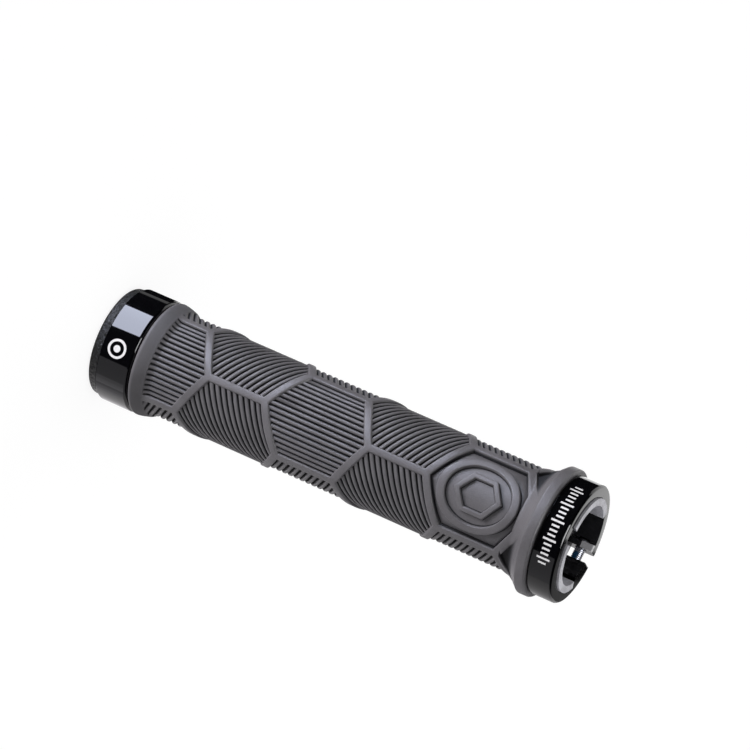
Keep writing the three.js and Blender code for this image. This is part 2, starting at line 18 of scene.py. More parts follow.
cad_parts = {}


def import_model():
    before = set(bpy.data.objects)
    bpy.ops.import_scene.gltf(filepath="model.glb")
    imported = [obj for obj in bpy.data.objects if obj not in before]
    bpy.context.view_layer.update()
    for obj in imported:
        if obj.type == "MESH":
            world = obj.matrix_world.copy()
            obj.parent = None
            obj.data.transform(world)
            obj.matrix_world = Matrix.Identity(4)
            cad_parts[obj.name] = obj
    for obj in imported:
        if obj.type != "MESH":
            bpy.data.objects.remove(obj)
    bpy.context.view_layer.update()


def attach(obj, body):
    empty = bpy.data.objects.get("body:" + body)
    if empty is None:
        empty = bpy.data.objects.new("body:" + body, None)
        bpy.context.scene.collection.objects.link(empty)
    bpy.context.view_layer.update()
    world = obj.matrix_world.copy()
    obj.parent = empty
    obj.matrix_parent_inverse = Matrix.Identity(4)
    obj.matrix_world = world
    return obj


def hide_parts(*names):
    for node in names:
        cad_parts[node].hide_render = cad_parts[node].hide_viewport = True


LOG = logging.getLogger("grip")
MM = 0.001
NEAR = 1e-6
ROOT = "root"
# Name of the point attribute that paints shade into the rubber's grooves, notches and wall feet.
GROOVE_SHADE = "hollow"
OUTER_MIDDLE = 7.8
INNER_MIDDLE = 137.3

Color = tuple[float, float, float]
Pair = tuple[float, float]
Line = list[tuple[float, int]]


# Shader graph helpers.


class Signal:
    """A shader socket that takes part in Python arithmetic."""

    def __init__(self, graph: "Graph", socket: bpy.types.NodeSocket) -> None:
        """Wraps one output socket of a graph."""
        self.graph = graph
        self.socket = socket

    def calc(self, operation: str, *values: object) -> "Signal":
        """Adds one Math node.

        Args:
            operation: Name of the Math node's operation.
            *values: Numbers or signals for its inputs.

        Returns:
            The node's result.
        """
        return self.graph.node("ShaderNodeMath", {"operation": operation}, dict(enumerate(values)))

    def __add__(self, other: object) -> "Signal":
        """Sum."""
        return self.calc("ADD", self, other)

    __radd__ = __add__

    def __sub__(self, other: object) -> "Signal":
        """Difference."""
        return self.calc("SUBTRACT", self, other)

    def __rsub__(self, other: object) -> "Signal":
        """Difference, reflected."""
        return self.calc("SUBTRACT", other, self)

    def __mul__(self, other: object) -> "Signal":
        """Product."""
        return self.calc("MULTIPLY", self, other)

    __rmul__ = __mul__

    def __truediv__(self, other: object) -> "Signal":
        """Quotient."""
        return self.calc("DIVIDE", self, other)

    def __neg__(self) -> "Signal":
        """Negative."""
        return self.calc("MULTIPLY", self, -1.0)

    def __pow__(self, other: object) -> "Signal":
        """Power."""
        return self.calc("POWER", self, other)

    def over(self, edge: float) -> "Signal":
        """One where the signal is greater than an edge."""
        return self.calc("GREATER_THAN", self, edge)

    def under(self, edge: float) -> "Signal":
        """One where the signal is less than an edge."""
        return self.calc("LESS_THAN", self, edge)

    def larger(self, other: object) -> "Signal":
        """The larger of two."""
        return self.calc("MAXIMUM", self, other)

    def size(self) -> "Signal":
        """Absolute value."""
        return self.calc("ABSOLUTE", self)

    def ramp(self, low: float, high: float) -> "Signal":
        """Smooth step from zero at one value to one at another.

        Args:
            low: Value that gives zero.
            high: Value that gives one.

        Returns:
            The step.
        """
        settings = {"interpolation_type": "SMOOTHSTEP"}
        inputs = {"Value": self, "From Min": low, "From Max": high, "To Min": 0.0, "To Max": 1.0}
        return self.graph.node("ShaderNodeMapRange", settings, inputs)


class Graph:
    """Node tree of one material or world."""

    def __init__(self, tree: bpy.types.NodeTree) -> None:
        """Empties a tree and takes it over."""
        tree.nodes.clear()
        self.tree = tree

    def node(
        self,
        kind: str,
        settings: Optional[dict] = None,
        inputs: Optional[dict] = None,
        output: object = 0,
    ) -> Signal:
        """Adds one node.

        Args:
            kind: Type of the node.
            settings: Its properties, set first.
            inputs: Values or signals by socket name or index.
            output: Name or index of the output that is returned.

        Returns:
            That output as a signal.
        """
        made = self.tree.nodes.new(kind)
        for name, value in (settings or {}).items():
            setattr(made, name, value)
        for name, value in (inputs or {}).items():
            socket = made.inputs[name]
            if isinstance(value, Signal):
                self.tree.links.new(value.socket, socket)
            else:
                socket.default_value = value
        return Signal(self, made.outputs[output])

    def place(self) -> Signal:
        """Object coordinates."""
        return self.node("ShaderNodeTexCoord", output="Object")

    def axes(self) -> tuple[Signal, Signal, Signal]:
        """The three object coordinates in metres.

        Returns:
            X, Y and Z.
        """
        split = self.node("ShaderNodeSeparateXYZ", inputs={0: self.place()})
        outputs = split.socket.node.outputs
        return tuple(Signal(self, outputs[i]) for i in range(3))

    def noise(self, scale: float, detail: float = 3.0, rough: float = 0.5) -> Signal:
        """Noise on the object coordinates.

        Args:
            scale: Waves per metre.
            detail: Octaves.
            rough: Weight of the fine octaves.

        Returns:
            A value round one half.
        """
        inputs = {"Vector": self.place(), "Scale": scale, "Detail": detail, "Roughness": rough}
        return self.node("ShaderNodeTexNoise", inputs=inputs)

    def tint(self, factor: object, dark: Sequence[float], light: Sequence[float]) -> Signal:
        """Blend of two colours.

        Args:
            factor: Share of the second colour.
            dark: First colour.
            light: Second colour.

        Returns:
            The blended colour.
        """
        settings = {"data_type": "RGBA"}
        inputs = {0: factor, 6: (*dark, 1.0), 7: (*light, 1.0)}
        return self.node("ShaderNodeMix", settings, inputs, output=2)

    def blend(self, factor: object, first: Signal, second: Signal) -> Signal:
        """Blend of two colour signals."""
        settings = {"data_type": "RGBA"}
        return self.node("ShaderNodeMix", settings, {0: factor, 6: first, 7: second}, output=2)

    def bump(self, height: Signal, strength: float, distance: float) -> Signal:
        """Normal bent by a height signal."""
        inputs = {"Height": height, "Strength": strength, "Distance": distance}
        return self.node("ShaderNodeBump", inputs=inputs)

    def surface(self, inputs: dict) -> None:
        """Ends the tree in one Principled surface."""
        shader = self.node("ShaderNodeBsdfPrincipled", inputs=inputs)
        self.node_output("ShaderNodeOutputMaterial", shader)

    def node_output(self, kind: str, shader: Signal) -> None:
        """Links a shader to an output node."""
        made = self.tree.nodes.new(kind)
        self.tree.links.new(shader.socket, made.inputs["Surface"])


@dataclass(frozen=True)
class Finish:
    """A named finish with its node tree."""

    name: str

    def build(self) -> bpy.types.Material:
        """Makes the material.

        Returns:
            The new material.
        """
        material = bpy.data.materials.new(self.name)
        material.use_nodes = True
        self.dress(Graph(material.node_tree))
        return material

    def dress(self, graph: Graph) -> None:
        """Fills the node tree."""
        raise NotImplementedError


@dataclass(frozen=True)
class MouldedRubber(Finish):
    """Dark grey rubber with the fine grain of its mould."""

    shade: Color = (0.118, 0.114, 0.122)
    spread: float = 0.14
    # Painted shade: the near-black colours of the grooves, notches and wall feet.
    deep: tuple[Color, Color] = ((0.008, 0.008, 0.009), (0.014, 0.014, 0.016))
    groove_shade_edge: Pair = (0.02, 0.34)
    # Painted shade on the collar: the share of the rubber's tone kept there, and where the band
    # begins and ends in millimetres; the band is also duller.
    collar_shade_share: float = 0.63
    collar_from: Pair = (13.3, 14.1)
    collar_to: Pair = (16.4, 18.4)
    rough: float = 0.38
    bump_depth: float = 0.1

    def dress(self, graph: Graph) -> None:
        """Uneven grey with a fine grain; painted shade darkens the grooves and the collar, which
        are also duller.

        Args:
            graph: The tree to fill.
        """
        broad = graph.noise(120.0, 4.0)
        fine = graph.noise(2600.0, 3.0, 0.6)
        grain = graph.noise(3600.0, 3.0, 0.7)
        mix = (broad * 0.6 + fine * 0.4).ramp(0.3, 0.7)
        # Painted shade: the hollow attribute turns the grooves, notches and wall feet towards the
        # deep colours.
        hollow = graph.node("ShaderNodeAttribute", {"attribute_name": GROOVE_SHADE}, output="Fac")
        hollow = hollow.ramp(*self.groove_shade_edge)
        height = graph.axes()[2] / MM
        # Painted shade: the collar's band takes darker copies of the rubber's tones, and it is also
        # duller.
        collar_shade_and_matt = height.ramp(*self.collar_from) * (1.0 - height.ramp(*self.collar_to))
        tones = []
        for share in (1.0 - self.spread, 1.0 + self.spread):
            plain = tuple(share * c for c in self.shade)
            tones.append(graph.tint(collar_shade_and_matt, plain, tuple(self.collar_shade_share * c for c in plain)))
        color = graph.blend(hollow, graph.blend(mix, *tones), graph.tint(mix, *self.deep))
        graph.surface(
            {
                "Base Color": color,
                "Roughness": self.rough + 0.14 * mix + 0.3 * hollow.larger(collar_shade_and_matt),
                "Normal": graph.bump(grain + broad * 0.3, 0.6, self.bump_depth * MM),
                "Specular IOR Level": 0.5,
            }
        )


class RingPrint(Enum):
    """What is printed in white on a ring."""

    TARGET = "a plain circle with a dot"
    SCALE = "a plain scale of ticks"


@dataclass(frozen=True)
class AnodisedRing(Finish):
    """Black anodised aluminium, polished, with plain white print."""

    print_kind: RingPrint
    radius: float
    print_height: float
    print_turn: float
    top: float
    shade: Color = (0.0012, 0.0012, 0.0016)
    white: tuple[Color, Color] = ((0.58, 0.58, 0.59), (0.85, 0.85, 0.86))
    circle: float = 2.35
    circle_edge: Pair = (0.3, 0.38)
    dot_edge: Pair = (0.95, 1.03)
    pitch: float = 1.3
    long_every: int = 4
    tick_edge: Pair = (0.24, 0.3)
    long_edge: Pair = (0.4, 0.5)
    tick_reach: float = 1.1
    long_reach: float = 0.75
    tick_fade: float = 0.03
    scale_end: Pair = (12.35, 12.4)
    wall_margin: float = 0.3
    # Painted light on the lug's flank: its reach from the axis, its span across and its depth in
    # millimetres, and how far it turns white.
    light_patch_reach: float = 12.6
    light_patch_across: Pair = (-1.3, 1.15)
    light_patch_drop: float = 3.3
    light_patch_share: float = 0.85

    def target(self, arc: Signal, rise: Signal) -> Signal:
        """Circle with a dot.

        Args:
            arc: Distance round the ring from the middle of the print, in millimetres.
            rise: Distance along the grip from it.

        Returns:
            The printed share.
        """
        reach = (arc * arc + rise * rise) ** 0.5
        circle = 1.0 - (reach - self.circle).size().ramp(*self.circle_edge)
        return circle.larger(1.0 - reach.ramp(*self.dot_edge))

    @staticmethod
    def ticks(arc: Signal, pitch: float, edge: Pair) -> Signal:
        """Lines at one pitch round the ring.

        Args:
            arc: Distance round the ring from the middle of the print, in millimetres.
            pitch: Distance between two lines.
            edge: Distances from a line's middle at which it begins and ends to fade.

        Returns:
            The share that the lines cover.
        """
        # The half centres a line on the middle, and the hundred keeps the sum above zero.
        share = arc.calc("FRACT", arc / pitch + 100.5)
        return 1.0 - ((share - 0.5).size() * pitch).ramp(*edge)

    def scale(self, arc: Signal, rise: Signal) -> Signal:
        """Row of ticks, every fourth one longer.

        Args:
            arc: Distance round the ring from the middle of the print, in millimetres.
            rise: Distance along the grip from it.

        Returns:
            The printed share.
        """
        thin = self.ticks(arc, self.pitch, self.tick_edge)
        long = self.ticks(arc, self.long_every * self.pitch, self.long_edge)
        height = self.tick_reach + long * self.long_reach
        inside = (height - rise.size()).ramp(-self.tick_fade, self.tick_fade)
        return thin * inside * (1.0 - arc.size().ramp(*self.scale_end))

    def painted_light_patch(self, across: Signal, deep: Signal, along: Signal) -> Signal:
        """Painted light: a pale patch on the flank of the lug, beside the bolt, down to a set depth
        from the ring's end.

        Args:
            across: The X coordinate in metres.
            deep: The Y coordinate.
            along: The Z coordinate.

        Returns:
            The share that the patch covers.
        """
        reach = (across * across + deep * deep) ** 0.5
        left, right = self.light_patch_across
        patch = reach.under(self.light_patch_reach * MM) * deep.over(0.0)
        patch = patch * across.over(left * MM) * across.under(right * MM)
        return patch * along.over((self.top - self.light_patch_drop) * MM)

    def dress(self, graph: Graph) -> None:
        """Near black with faint turning marks, the print over it, and painted light on the lug's
        flank.

        Args:
            graph: The tree to fill.
        """
        across, deep, along = graph.axes()
        turn = across.calc("ARCTAN2", across, -deep) - math.radians(self.print_turn)
        arc = turn * self.radius
        rise = along / MM - self.print_height
        drawn = self.target if self.print_kind is RingPrint.TARGET else self.scale
        reach = (across * across + deep * deep) ** 0.5
        ink = drawn(arc, rise) * reach.over((self.radius - self.wall_margin) * MM)
        smear = graph.noise(240.0, 3.0)
        thin = graph.noise(2600.0, 3.0, 0.6)
        turning = graph.node(
            "ShaderNodeTexNoise",
            {"noise_dimensions": "1D"},
            {"W": along, "Scale": 9000.0, "Detail": 2.0},
        )
        black = graph.tint(smear, self.shade, tuple(2.0 * c for c in self.shade))
        white = graph.tint(thin, *self.white)
        # Painted light: a pale patch on the lug's flank near the ring's end.
        painted_light_patch = self.painted_light_patch(across, deep, along)
        graph.surface(
            {
                "Base Color": graph.blend(ink + painted_light_patch * self.light_patch_share, black, white),
                "Roughness": 0.035 + 0.04 * smear + 0.3 * ink + 0.3 * painted_light_patch,
                "Normal": graph.bump(turning + ink * 0.6, 0.04, 0.00001),
                "IOR": 1.5,
            }
        )


@dataclass(frozen=True)
class HardPlastic(Finish):
    """Moulded plastic of one shade."""

    shade: Color
    rough: float
    grain: float
    grain_scale: float = 4200.0
    grain_depth: float = 0.08

    def dress(self, graph: Graph) -> None:
        """Uneven shade with a moulded grain.

        Args:
            graph: The tree to fill.
        """
        broad = graph.noise(300.0, 3.0)
        fine = graph.noise(self.grain_scale, 3.0, 0.6)
        dark = tuple(0.75 * c for c in self.shade)
        light = tuple(1.35 * c for c in self.shade)
        graph.surface(
            {
                "Base Color": graph.tint((broad * 0.5 + fine * 0.5).ramp(0.35, 0.65), dark, light),
                "Roughness": self.rough + 0.12 * (broad - 0.5),
                "Normal": graph.bump(fine, self.grain, self.grain_depth * MM),
            }
        )


@dataclass(frozen=True)
class PlatedSteel(Finish):
    """Bright plated steel with a band of blue thread lock."""

    middle: float
    lock_from: float = -1.4
    lock_to: float = 0.6
    lock_fade: float = 0.2
    lock_top: float = 0.75
    worn: float = 0.7
    steel: tuple[Color, Color] = ((0.42, 0.43, 0.46), (0.75, 0.76, 0.8))
    blue: tuple[Color, Color] = ((0.006, 0.04, 0.1), (0.02, 0.15, 0.32))

    def dress(self, graph: Graph) -> None:
        """Steel, blue where the thread lock lies.

        Args:
            graph: The tree to fill.
        """
        across, deep, height = graph.axes()
        turn = math.radians(Keying.split_angle)
        worn = graph.noise(2500.0, 3.0) * self.worn
        along = (across * math.cos(turn) + deep * math.sin(turn)) / MM + worn
        lock = along.ramp(self.lock_from, self.lock_from + self.lock_fade)
        lock = lock * (1.0 - along.ramp(self.lock_to, self.lock_to + self.lock_fade))
        lock = lock * (height / MM + worn).under(self.middle + self.lock_top)
        smear = graph.noise(900.0, 3.0)
        steel = graph.tint(smear, *self.steel)
        blue = graph.tint(smear, *self.blue)
        graph.surface(
            {
                "Base Color": graph.blend(lock, steel, blue),
                "Metallic": 1.0 - lock,
                "Roughness": 0.25 + 0.15 * smear + 0.15 * lock,
                "Normal": graph.bump(graph.noise(6000.0), 0.1, 0.00003),
            }
        )


# Hand modelling helpers.


def polar(radius: float, angle: float, height: float) -> Vector:
    """Point at a radius, an angle in degrees round the grip and a height, all in millimetres.

    Args:
        radius: Distance from the axis.
        angle: Degrees from -Y towards +X.
        height: Place along the axis.

    Returns:
        The point in metres.
    """
    turn = math.radians(angle)
    return Vector((radius * math.sin(turn), -radius * math.cos(turn), height)) * MM


class Pick(Enum):
    """What is picked in edit mode."""

    FACE = "faces"
    EDGE = "edges"


class Join(Enum):
    """How one shape acts on another."""

    CUT = "DIFFERENCE"
    WELD = "UNION"


class Bench:
    """One mesh object while it is being modelled."""

    def __init__(self, name: str) -> None:
        """Names the active object, puts its place into its mesh and takes it over.

        Args:
            name: Name of the piece.
        """
        self.object = bpy.context.active_object
        self.object.name = name
        self.object.data.name = name
        self.settle()

    @staticmethod
    def clear() -> None:
        """Leaves nothing selected."""
        if bpy.context.mode != "OBJECT":
            bpy.ops.object.mode_set(mode="OBJECT")
        bpy.ops.object.select_all(action="DESELECT")

    @classmethod
    def tube(cls, name: str, radius: float, low: float, high: float, sides: int = 144) -> "Bench":
        """Closed cylinder about the grip's axis.

        Args:
            name: Name of the piece.
            radius: Its radius in millimetres.
            low: Lower end.
            high: Upper end.
            sides: Number of its sides.

        Returns:
            The bench with the new object.
        """
        cls.clear()
        bpy.ops.mesh.primitive_cylinder_add(
            vertices=sides,
            radius=radius * MM,
            depth=(high - low) * MM,
            location=(0.0, 0.0, (low + high) / 2 * MM),
        )
        return cls(name)

    @classmethod
    def rod(
        cls, name: str, radius: float, low: float, high: float, frame: Matrix, sides: int = 48
    ) -> "Bench":
        """Closed cylinder along the X axis of a frame.

        Args:
            name: Name of the piece.
            radius: Its radius in millimetres.
            low: Where it begins on that axis.
            high: Where it ends.
            frame: The frame in metres.
            sides: Number of its sides.

        Returns:
            The bench with the new object.
        """
        cls.clear()
        place = frame @ Vector(((low + high) / 2 * MM, 0.0, 0.0))
        turn = (frame.to_3x3() @ Matrix.Rotation(math.radians(90.0), 3, "Y")).to_euler()
        bpy.ops.mesh.primitive_cylinder_add(
            vertices=sides,
            radius=radius * MM,
            depth=(high - low) * MM,
            location=place,
            rotation=turn,
        )
        return cls(name)

    @classmethod
    def block(cls, name: str, size: Vector, place: Vector, turn: float) -> "Bench":
        """Box turned about the grip's axis.

        Args:
            name: Name of the piece.
            size: Its lengths in millimetres.
            place: Its middle in metres.
            turn: Degrees about Z.

        Returns:
            The bench with the new object.
        """
        cls.clear()
        bpy.ops.mesh.primitive_cube_add(
            size=1.0, location=place, rotation=(0.0, 0.0, math.radians(turn)), scale=size * MM
        )
        return cls(name)

    def activate(self) -> None:
        """Makes the object the only selected one."""
        self.clear()
        self.object.select_set(True)
        bpy.context.view_layer.objects.active = self.object

    def settle(self) -> None:
        """Puts the object's place, turn and scale into its mesh."""
        self.activate()
        bpy.ops.object.transform_apply(location=True, rotation=True, scale=True)

    def pick(self, kind: Pick, test: Callable[[object], bool]) -> None:
        """Enters edit mode with some faces or edges selected.

        Args:
            kind: Faces or edges.
            test: Tells which of them.
        """
        self.activate()
        bpy.ops.object.mode_set(mode="EDIT")
        bpy.ops.mesh.select_mode(type=kind.name)
        bpy.ops.mesh.select_all(action="DESELECT")
        mesh = bmesh.from_edit_mesh(self.object.data)
        for item in getattr(mesh, kind.value):
            item.select = test(item)
        mesh.select_flush_mode()
        bmesh.update_edit_mesh(self.object.data)

    def leave(self) -> None:
        """Goes back to object mode."""
        bpy.ops.object.mode_set(mode="OBJECT")

    @staticmethod
    def grow(rise: float, share: float) -> None:
        """Extrudes the selected face upwards and scales it.

        Args:
            rise: Height in millimetres.
            share: Scale about the axis.
        """
        bpy.ops.mesh.extrude_region_move(TRANSFORM_OT_translate={"value": (0.0, 0.0, rise * MM)})
        bpy.ops.transform.resize(value=(share, share, 1.0), center_override=(0.0, 0.0, 0.0))

    def bore(self, wall: float) -> None:
        """Opens a cylinder into a tube.

        Args:
            wall: Thickness of its wall in millimetres.
        """
        self.pick(Pick.FACE, lambda face: abs(face.normal.z) > 0.9)
        bpy.ops.mesh.inset(thickness=wall * MM, depth=0.0)
        bpy.ops.mesh.bridge_edge_loops()
        self.leave()

    def round_edges(
        self,
        width: float,
        steps: int,
        test: Callable[[bmesh.types.BMEdge], bool],
        shape: float = 0.5,
    ) -> None:
        """Bevels some edges.

        Args:
            width: Width of the bevel in millimetres.
            steps: Its segments.
            test: Tells which edges.
            shape: Profile from flat to full.
        """
        self.pick(Pick.EDGE, test)
        bpy.ops.mesh.bevel(offset=width * MM, segments=steps, profile=shape, affect="EDGES")
        self.leave()

    def join(self, tool: "Bench", kind: Join) -> None:
        """Acts with another object on this one by a Boolean and removes the other.

        Args:
            tool: The other object.
            kind: Whether it cuts or is welded on.
        """
        self.activate()
        step = self.object.modifiers.new("join", "BOOLEAN")
        step.operation = kind.value
        step.solver = "EXACT"
        step.object = tool.object
        bpy.ops.object.modifier_apply(modifier=step.name)
        mesh = tool.object.data
        bpy.data.objects.remove(tool.object)
        bpy.data.meshes.remove(mesh)

    def soften(self, width: float, steps: int = 2, angle: float = 30.0) -> None:
        """Rounds every sharp edge a little.

        Args:
            width: Width of the rounding in millimetres.
            steps: Its segments.
            angle: Edges sharper than this many degrees are rounded.
        """
        self.activate()
        step = self.object.modifiers.new("soften", "BEVEL")
        step.width = width * MM
        step.segments = steps
        step.limit_method = "ANGLE"
        step.angle_limit = math.radians(angle)
        bpy.ops.object.modifier_apply(modifier=step.name)

    def tidy(self, smooth: float) -> None:
        """Merges doubled points, turns the faces outwards and shades them.

        Args:
            smooth: Edges flatter than this many degrees are shaded smooth.
        """
        self.activate()
        bpy.ops.object.mode_set(mode="EDIT")
        bpy.ops.mesh.select_all(action="SELECT")
        bpy.ops.mesh.remove_doubles(threshold=2 * NEAR)
        bpy.ops.mesh.normals_make_consistent(inside=False)
        self.leave()
        bpy.ops.object.shade_smooth_by_angle(angle=math.radians(smooth))

    def level_shading(self) -> None:
        """Lets large flat faces keep their own shading right up to their rounded edges."""
        self.activate()
        step = self.object.modifiers.new("level", "WEIGHTED_NORMAL")
        step.mode = "FACE_AREA"
        step.weight = 100
        step.keep_sharp = True
        bpy.ops.object.modifier_apply(modifier=step.name)

    def hand_over(self, node: str, slot: str, finish: bpy.types.Material) -> bpy.types.Object:
        """Dresses the piece and sets it in the place of a solid.

        Args:
            node: The solid that it stands for.
            slot: The record's material slot; not used.
            finish: Its material.

        Returns:
            The finished object.
        """
        self.object.data.materials.clear()
        self.object.data.materials.append(finish)
        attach(self.object, ROOT)
        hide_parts(node)
        return self.object


# The sleeve.


@dataclass(frozen=True)
class Spot:
    """A point of the unrolled pattern: u along the axis, v round it, and its number in the skin."""

    u: float
    v: float
    index: int = -1


@dataclass(frozen=True)
class Side:
    """A line across the pattern by the direction it faces and its distance."""

    u: float
    v: float
    reach: float


@dataclass(frozen=True)
class Cell:
    """One cell of the honeycomb: its middle, and the pair of sides that its ribs follow."""

    u: float
    v: float
    side: int
    badged: bool


@dataclass
class GripSleeve:
    """Rubber sleeve with raised bands in a honeycomb, ribs in each cell and a plain badge cell."""

    start: float = 12.9
    length: float = 120.7
    bore: float = 12.45
    band_radius: float = 14.85
    collar_radius: float = 16.0
    collar_width: float = 1.0
    collar_slope: float = 4.3
    collar_curve: float = 1.3
    collar_round: float = 0.7
    flange_radius: float = 17.8
    flange_width: float = 2.8
    flange_slope: float = 4.0
    flange_curve: float = 1.3
    flange_round: float = 0.6
    flange_steps: int = 13
    crease: tuple[Pair, ...] = (
        (0.13, -0.14),
        (0.05, -0.03),
        (0.01, 0.09),
        (0.0, 0.22),
        (0.0, 0.34),
    )
    rows: int = 6
    rib_sides: tuple[int, ...] = (0, 2, 1, 0, 2, 1)
    edge: float = 17.2
    slant: float = 7.0
    first: float = 5.1
    front_share: float = 0.8575
    turn: float = -4.6
    band_width: float = 2.1
    wall: float = 0.16
    inset: float = 3.0
    margin: float = 1.2
    crest: float = 0.25
    band_profile: tuple[Pair, ...] = (
        (0.42, 0.0),
        (0.24, 0.025),
        (0.11, 0.09),
        (0.03, 0.2),
        (0.0, 0.32),
    )
    ribs: int = 16
    rib_drop: float = 0.5
    rib_power: float = 2.3
    rib_shares: tuple[float, ...] = (0.0, 0.05, 0.11, 0.2, 0.32, 0.5, 0.68, 0.8, 0.89, 0.95)
    groove: float = 1.15
    notch: float = 1.3
    notch_length: float = 5.0
    notch_wall: float = 0.5
    # Painted shade in the notches at their full depth.
    notch_painted_shade: float = 0.8
    wedge_insets: tuple[float, ...] = (-0.05, 0.1, 0.2, 0.3, 0.4, 0.5, 0.8)
    rib_lead: float = 0.3
    rib_fade: float = 2.2
    rib_marks: tuple[float, ...] = (0.46, 0.6, 0.8, 1.1, 1.4, 1.8, 2.2)
    groove_fade: float = 0.6
    straight_stride: float = 9.0
    curved_stride: float = 2.2
    panel_profile: tuple[Pair, ...] = ((0.2, -0.2), (0.32, -0.12), (0.5, 0.0))
    # Painted shade along the groove round the badge cell's floor.
    panel_painted_shade: float = 0.7
    badge_profile: tuple[Pair, ...] = (
        (0.0, 0.0),
        (0.06, 0.55),
        (0.14, 0.86),
        (0.26, 0.97),
        (0.42, 1.0),
    )
    badge_foot: float = 0.3
    # Painted shade at the feet of the badge's ring and hexagon.
    badge_painted_shade: float = 0.4
    badge_steps: int = 96
    badge_drop: float = 0.05
    badge_floor: float = 1.15
    badge_shift: float = -0.4
    badge_stretch: float = 1.11
    badge_ring: float = 10.45
    badge_ring_width: float = 2.3
    badge_hexagon: float = 6.4
    badge_hexagon_width: float = 1.8
    step: float = 1.3
    ring_steps: int = 360
    round_steps: int = 6
    places: list[tuple[float, float, float]] = field(default_factory=list)
    # Painted shade of each point, from zero to one.
    groove_shades: list[float] = field(default_factory=list)
    seam: dict[int, float] = field(default_factory=dict)
    faces: list[tuple[int, int, int]] = field(default_factory=list)
    known: dict[tuple[int, int, int], int] = field(default_factory=dict)

    @property
    def end(self) -> float:
        """Height of the inboard end."""
        return self.start + self.length

    @property
    def flange_start(self) -> float:
        """Height where the bands begin to rise into the flange."""
        return self.end - self.flange_width - self.flange_slope

    @property
    def pattern_start(self) -> float:
        """Height where the bands leave the collar."""
        return self.start + self.inset

    @property
    def rib_start(self) -> float:
        """Height where the ribs begin to sink out of the collar."""
        return self.pattern_start + self.margin - self.rib_lead

    @property
    def unrolled(self) -> float:
        """Radius at which the pattern is laid out flat."""
        return self.band_radius * self.front_share

    @property
    def half_height(self) -> float:
        """Half of a cell's height round the grip."""
        return self.unrolled * 2 * math.pi / self.rows

    @property
    def half_length(self) -> float:
        """Half of a cell's length along the axis."""
        return self.edge / 2 + self.slant

    def turned(self, v: float) -> float:
        """Angle in degrees round the grip for a place v of the pattern, packed closer in front.

        Args:
            v: The place.

        Returns:
            The angle.
        """
        share = (v / self.unrolled / math.pi + 1) % 2 - 1
        angle = 180 * (self.front_share * share + (1 - self.front_share) * share**3) + self.turn
        return angle % 360

    def level(self, u: float) -> float:
        """Radius of the raised bands, which rise into the collar and the flange.

        Args:
            u: Height along the axis.

        Returns:
            The radius.
        """
        off = (u - self.start - self.collar_width) / self.collar_slope
        if off < 1:
            rise = 1 - max(off, 0.0) ** self.collar_curve
            return self.band_radius + (self.collar_radius - self.band_radius) * rise
        along = min(max((u - self.flange_start) / self.flange_slope, 0.0), 1.0)
        rise = along**self.flange_curve
        return self.band_radius + (self.flange_radius - self.band_radius) * rise

    def laid(self, angle: float) -> float:
        """Place v of the pattern at an angle in degrees, the inverse of turned.

        Args:
            angle: The angle.

        Returns:
            The place.
        """
        goal = ((angle - self.turn + 180) % 360 - 180) / 180
        share = goal
        for _ in range(5):
            miss = self.front_share * share + (1 - self.front_share) * share**3 - goal
            share -= miss / (self.front_share + 3 * (1 - self.front_share) * share**2)
        return share * math.pi * self.unrolled

    @staticmethod
    def eased(share: float) -> float:
        """Smooth step between zero and one."""
        share = min(max(share, 0.0), 1.0)
        return share * share * (3 - 2 * share)

    @property
    def notch_start(self) -> float:
        """Where the notches in the foot of the flange begin."""
        stride = 2 * (self.edge + self.slant)
        tip = self.start + self.first + stride / 2 - self.half_length
        while tip + self.half_length < self.flange_start:
            tip += stride
        slope = math.hypot(self.slant, self.half_height)
        return tip + self.band_width / 2 * slope / self.half_height

    def dent(self, u: float, v: float) -> float:
        """Depth of the notches that sink into the foot of the flange between the bands.

        Args:
            u: Place along the axis.
            v: Place round it.

        Returns:
            The depth.
        """
        along = u - self.notch_start
        if not 0.0 < along < self.notch_length:
            return 0.0
        across = abs((v / self.half_height) % 2 - 1) * self.half_height
        slope = math.hypot(self.slant, self.half_height)
        inside = (along * self.half_height - across * self.slant) / slope
        return self.notch * (1 - along / self.notch_length) * self.eased(inside / self.notch_wall)

    def point(self, u: float, v: float, height: float, groove: float = 0.0) -> int:
        """Number of a point of the pattern.

        Args:
            u: Its place along the axis.
            v: Its place round it.
            height: Its height over the bands.
            groove: Its depth between the ribs, a negative number.

        Returns:
            The point's number.
        """
        along = u - self.rib_start
        sunk = height * self.eased(along / self.rib_fade)
        cut = groove * self.eased(along / self.groove_fade)
        dent = self.dent(u, v)
        # Painted shade: the depth of the groove and of the notch darkens the point.
        hollow = min(-cut / self.groove + self.notch_painted_shade * dent / self.notch, 1.0)
        return self.point_at(self.level(u) + sunk + cut - dent, self.turned(v), u, hollow)

    def point_at(self, radius: float, angle: float, z: float, hollow: float = 0.0) -> int:
        """Number of a point of the skin.

        Args:
            radius: Its distance from the axis.
            angle: Its angle round the grip.
            z: Its height along the axis.
            hollow: How deep it lies in a groove, from zero to one, which paints shade on it.

        Returns:
            The point's number.
        """
        turn = math.radians(angle)
        place = (radius * math.sin(turn), -radius * math.cos(turn), z)
        key = tuple(round(value * 1e4 + 0.3137) for value in place)
        if key not in self.known:
            self.known[key] = len(self.places)
            self.places.append(tuple(value * MM for value in place))
            self.groove_shades.append(hollow)
        return self.known[key]

    def face(self, a: int, b: int, c: int) -> None:
        """Adds one triangle."""
        if len({a, b, c}) == 3:
            self.faces.append((a, b, c))

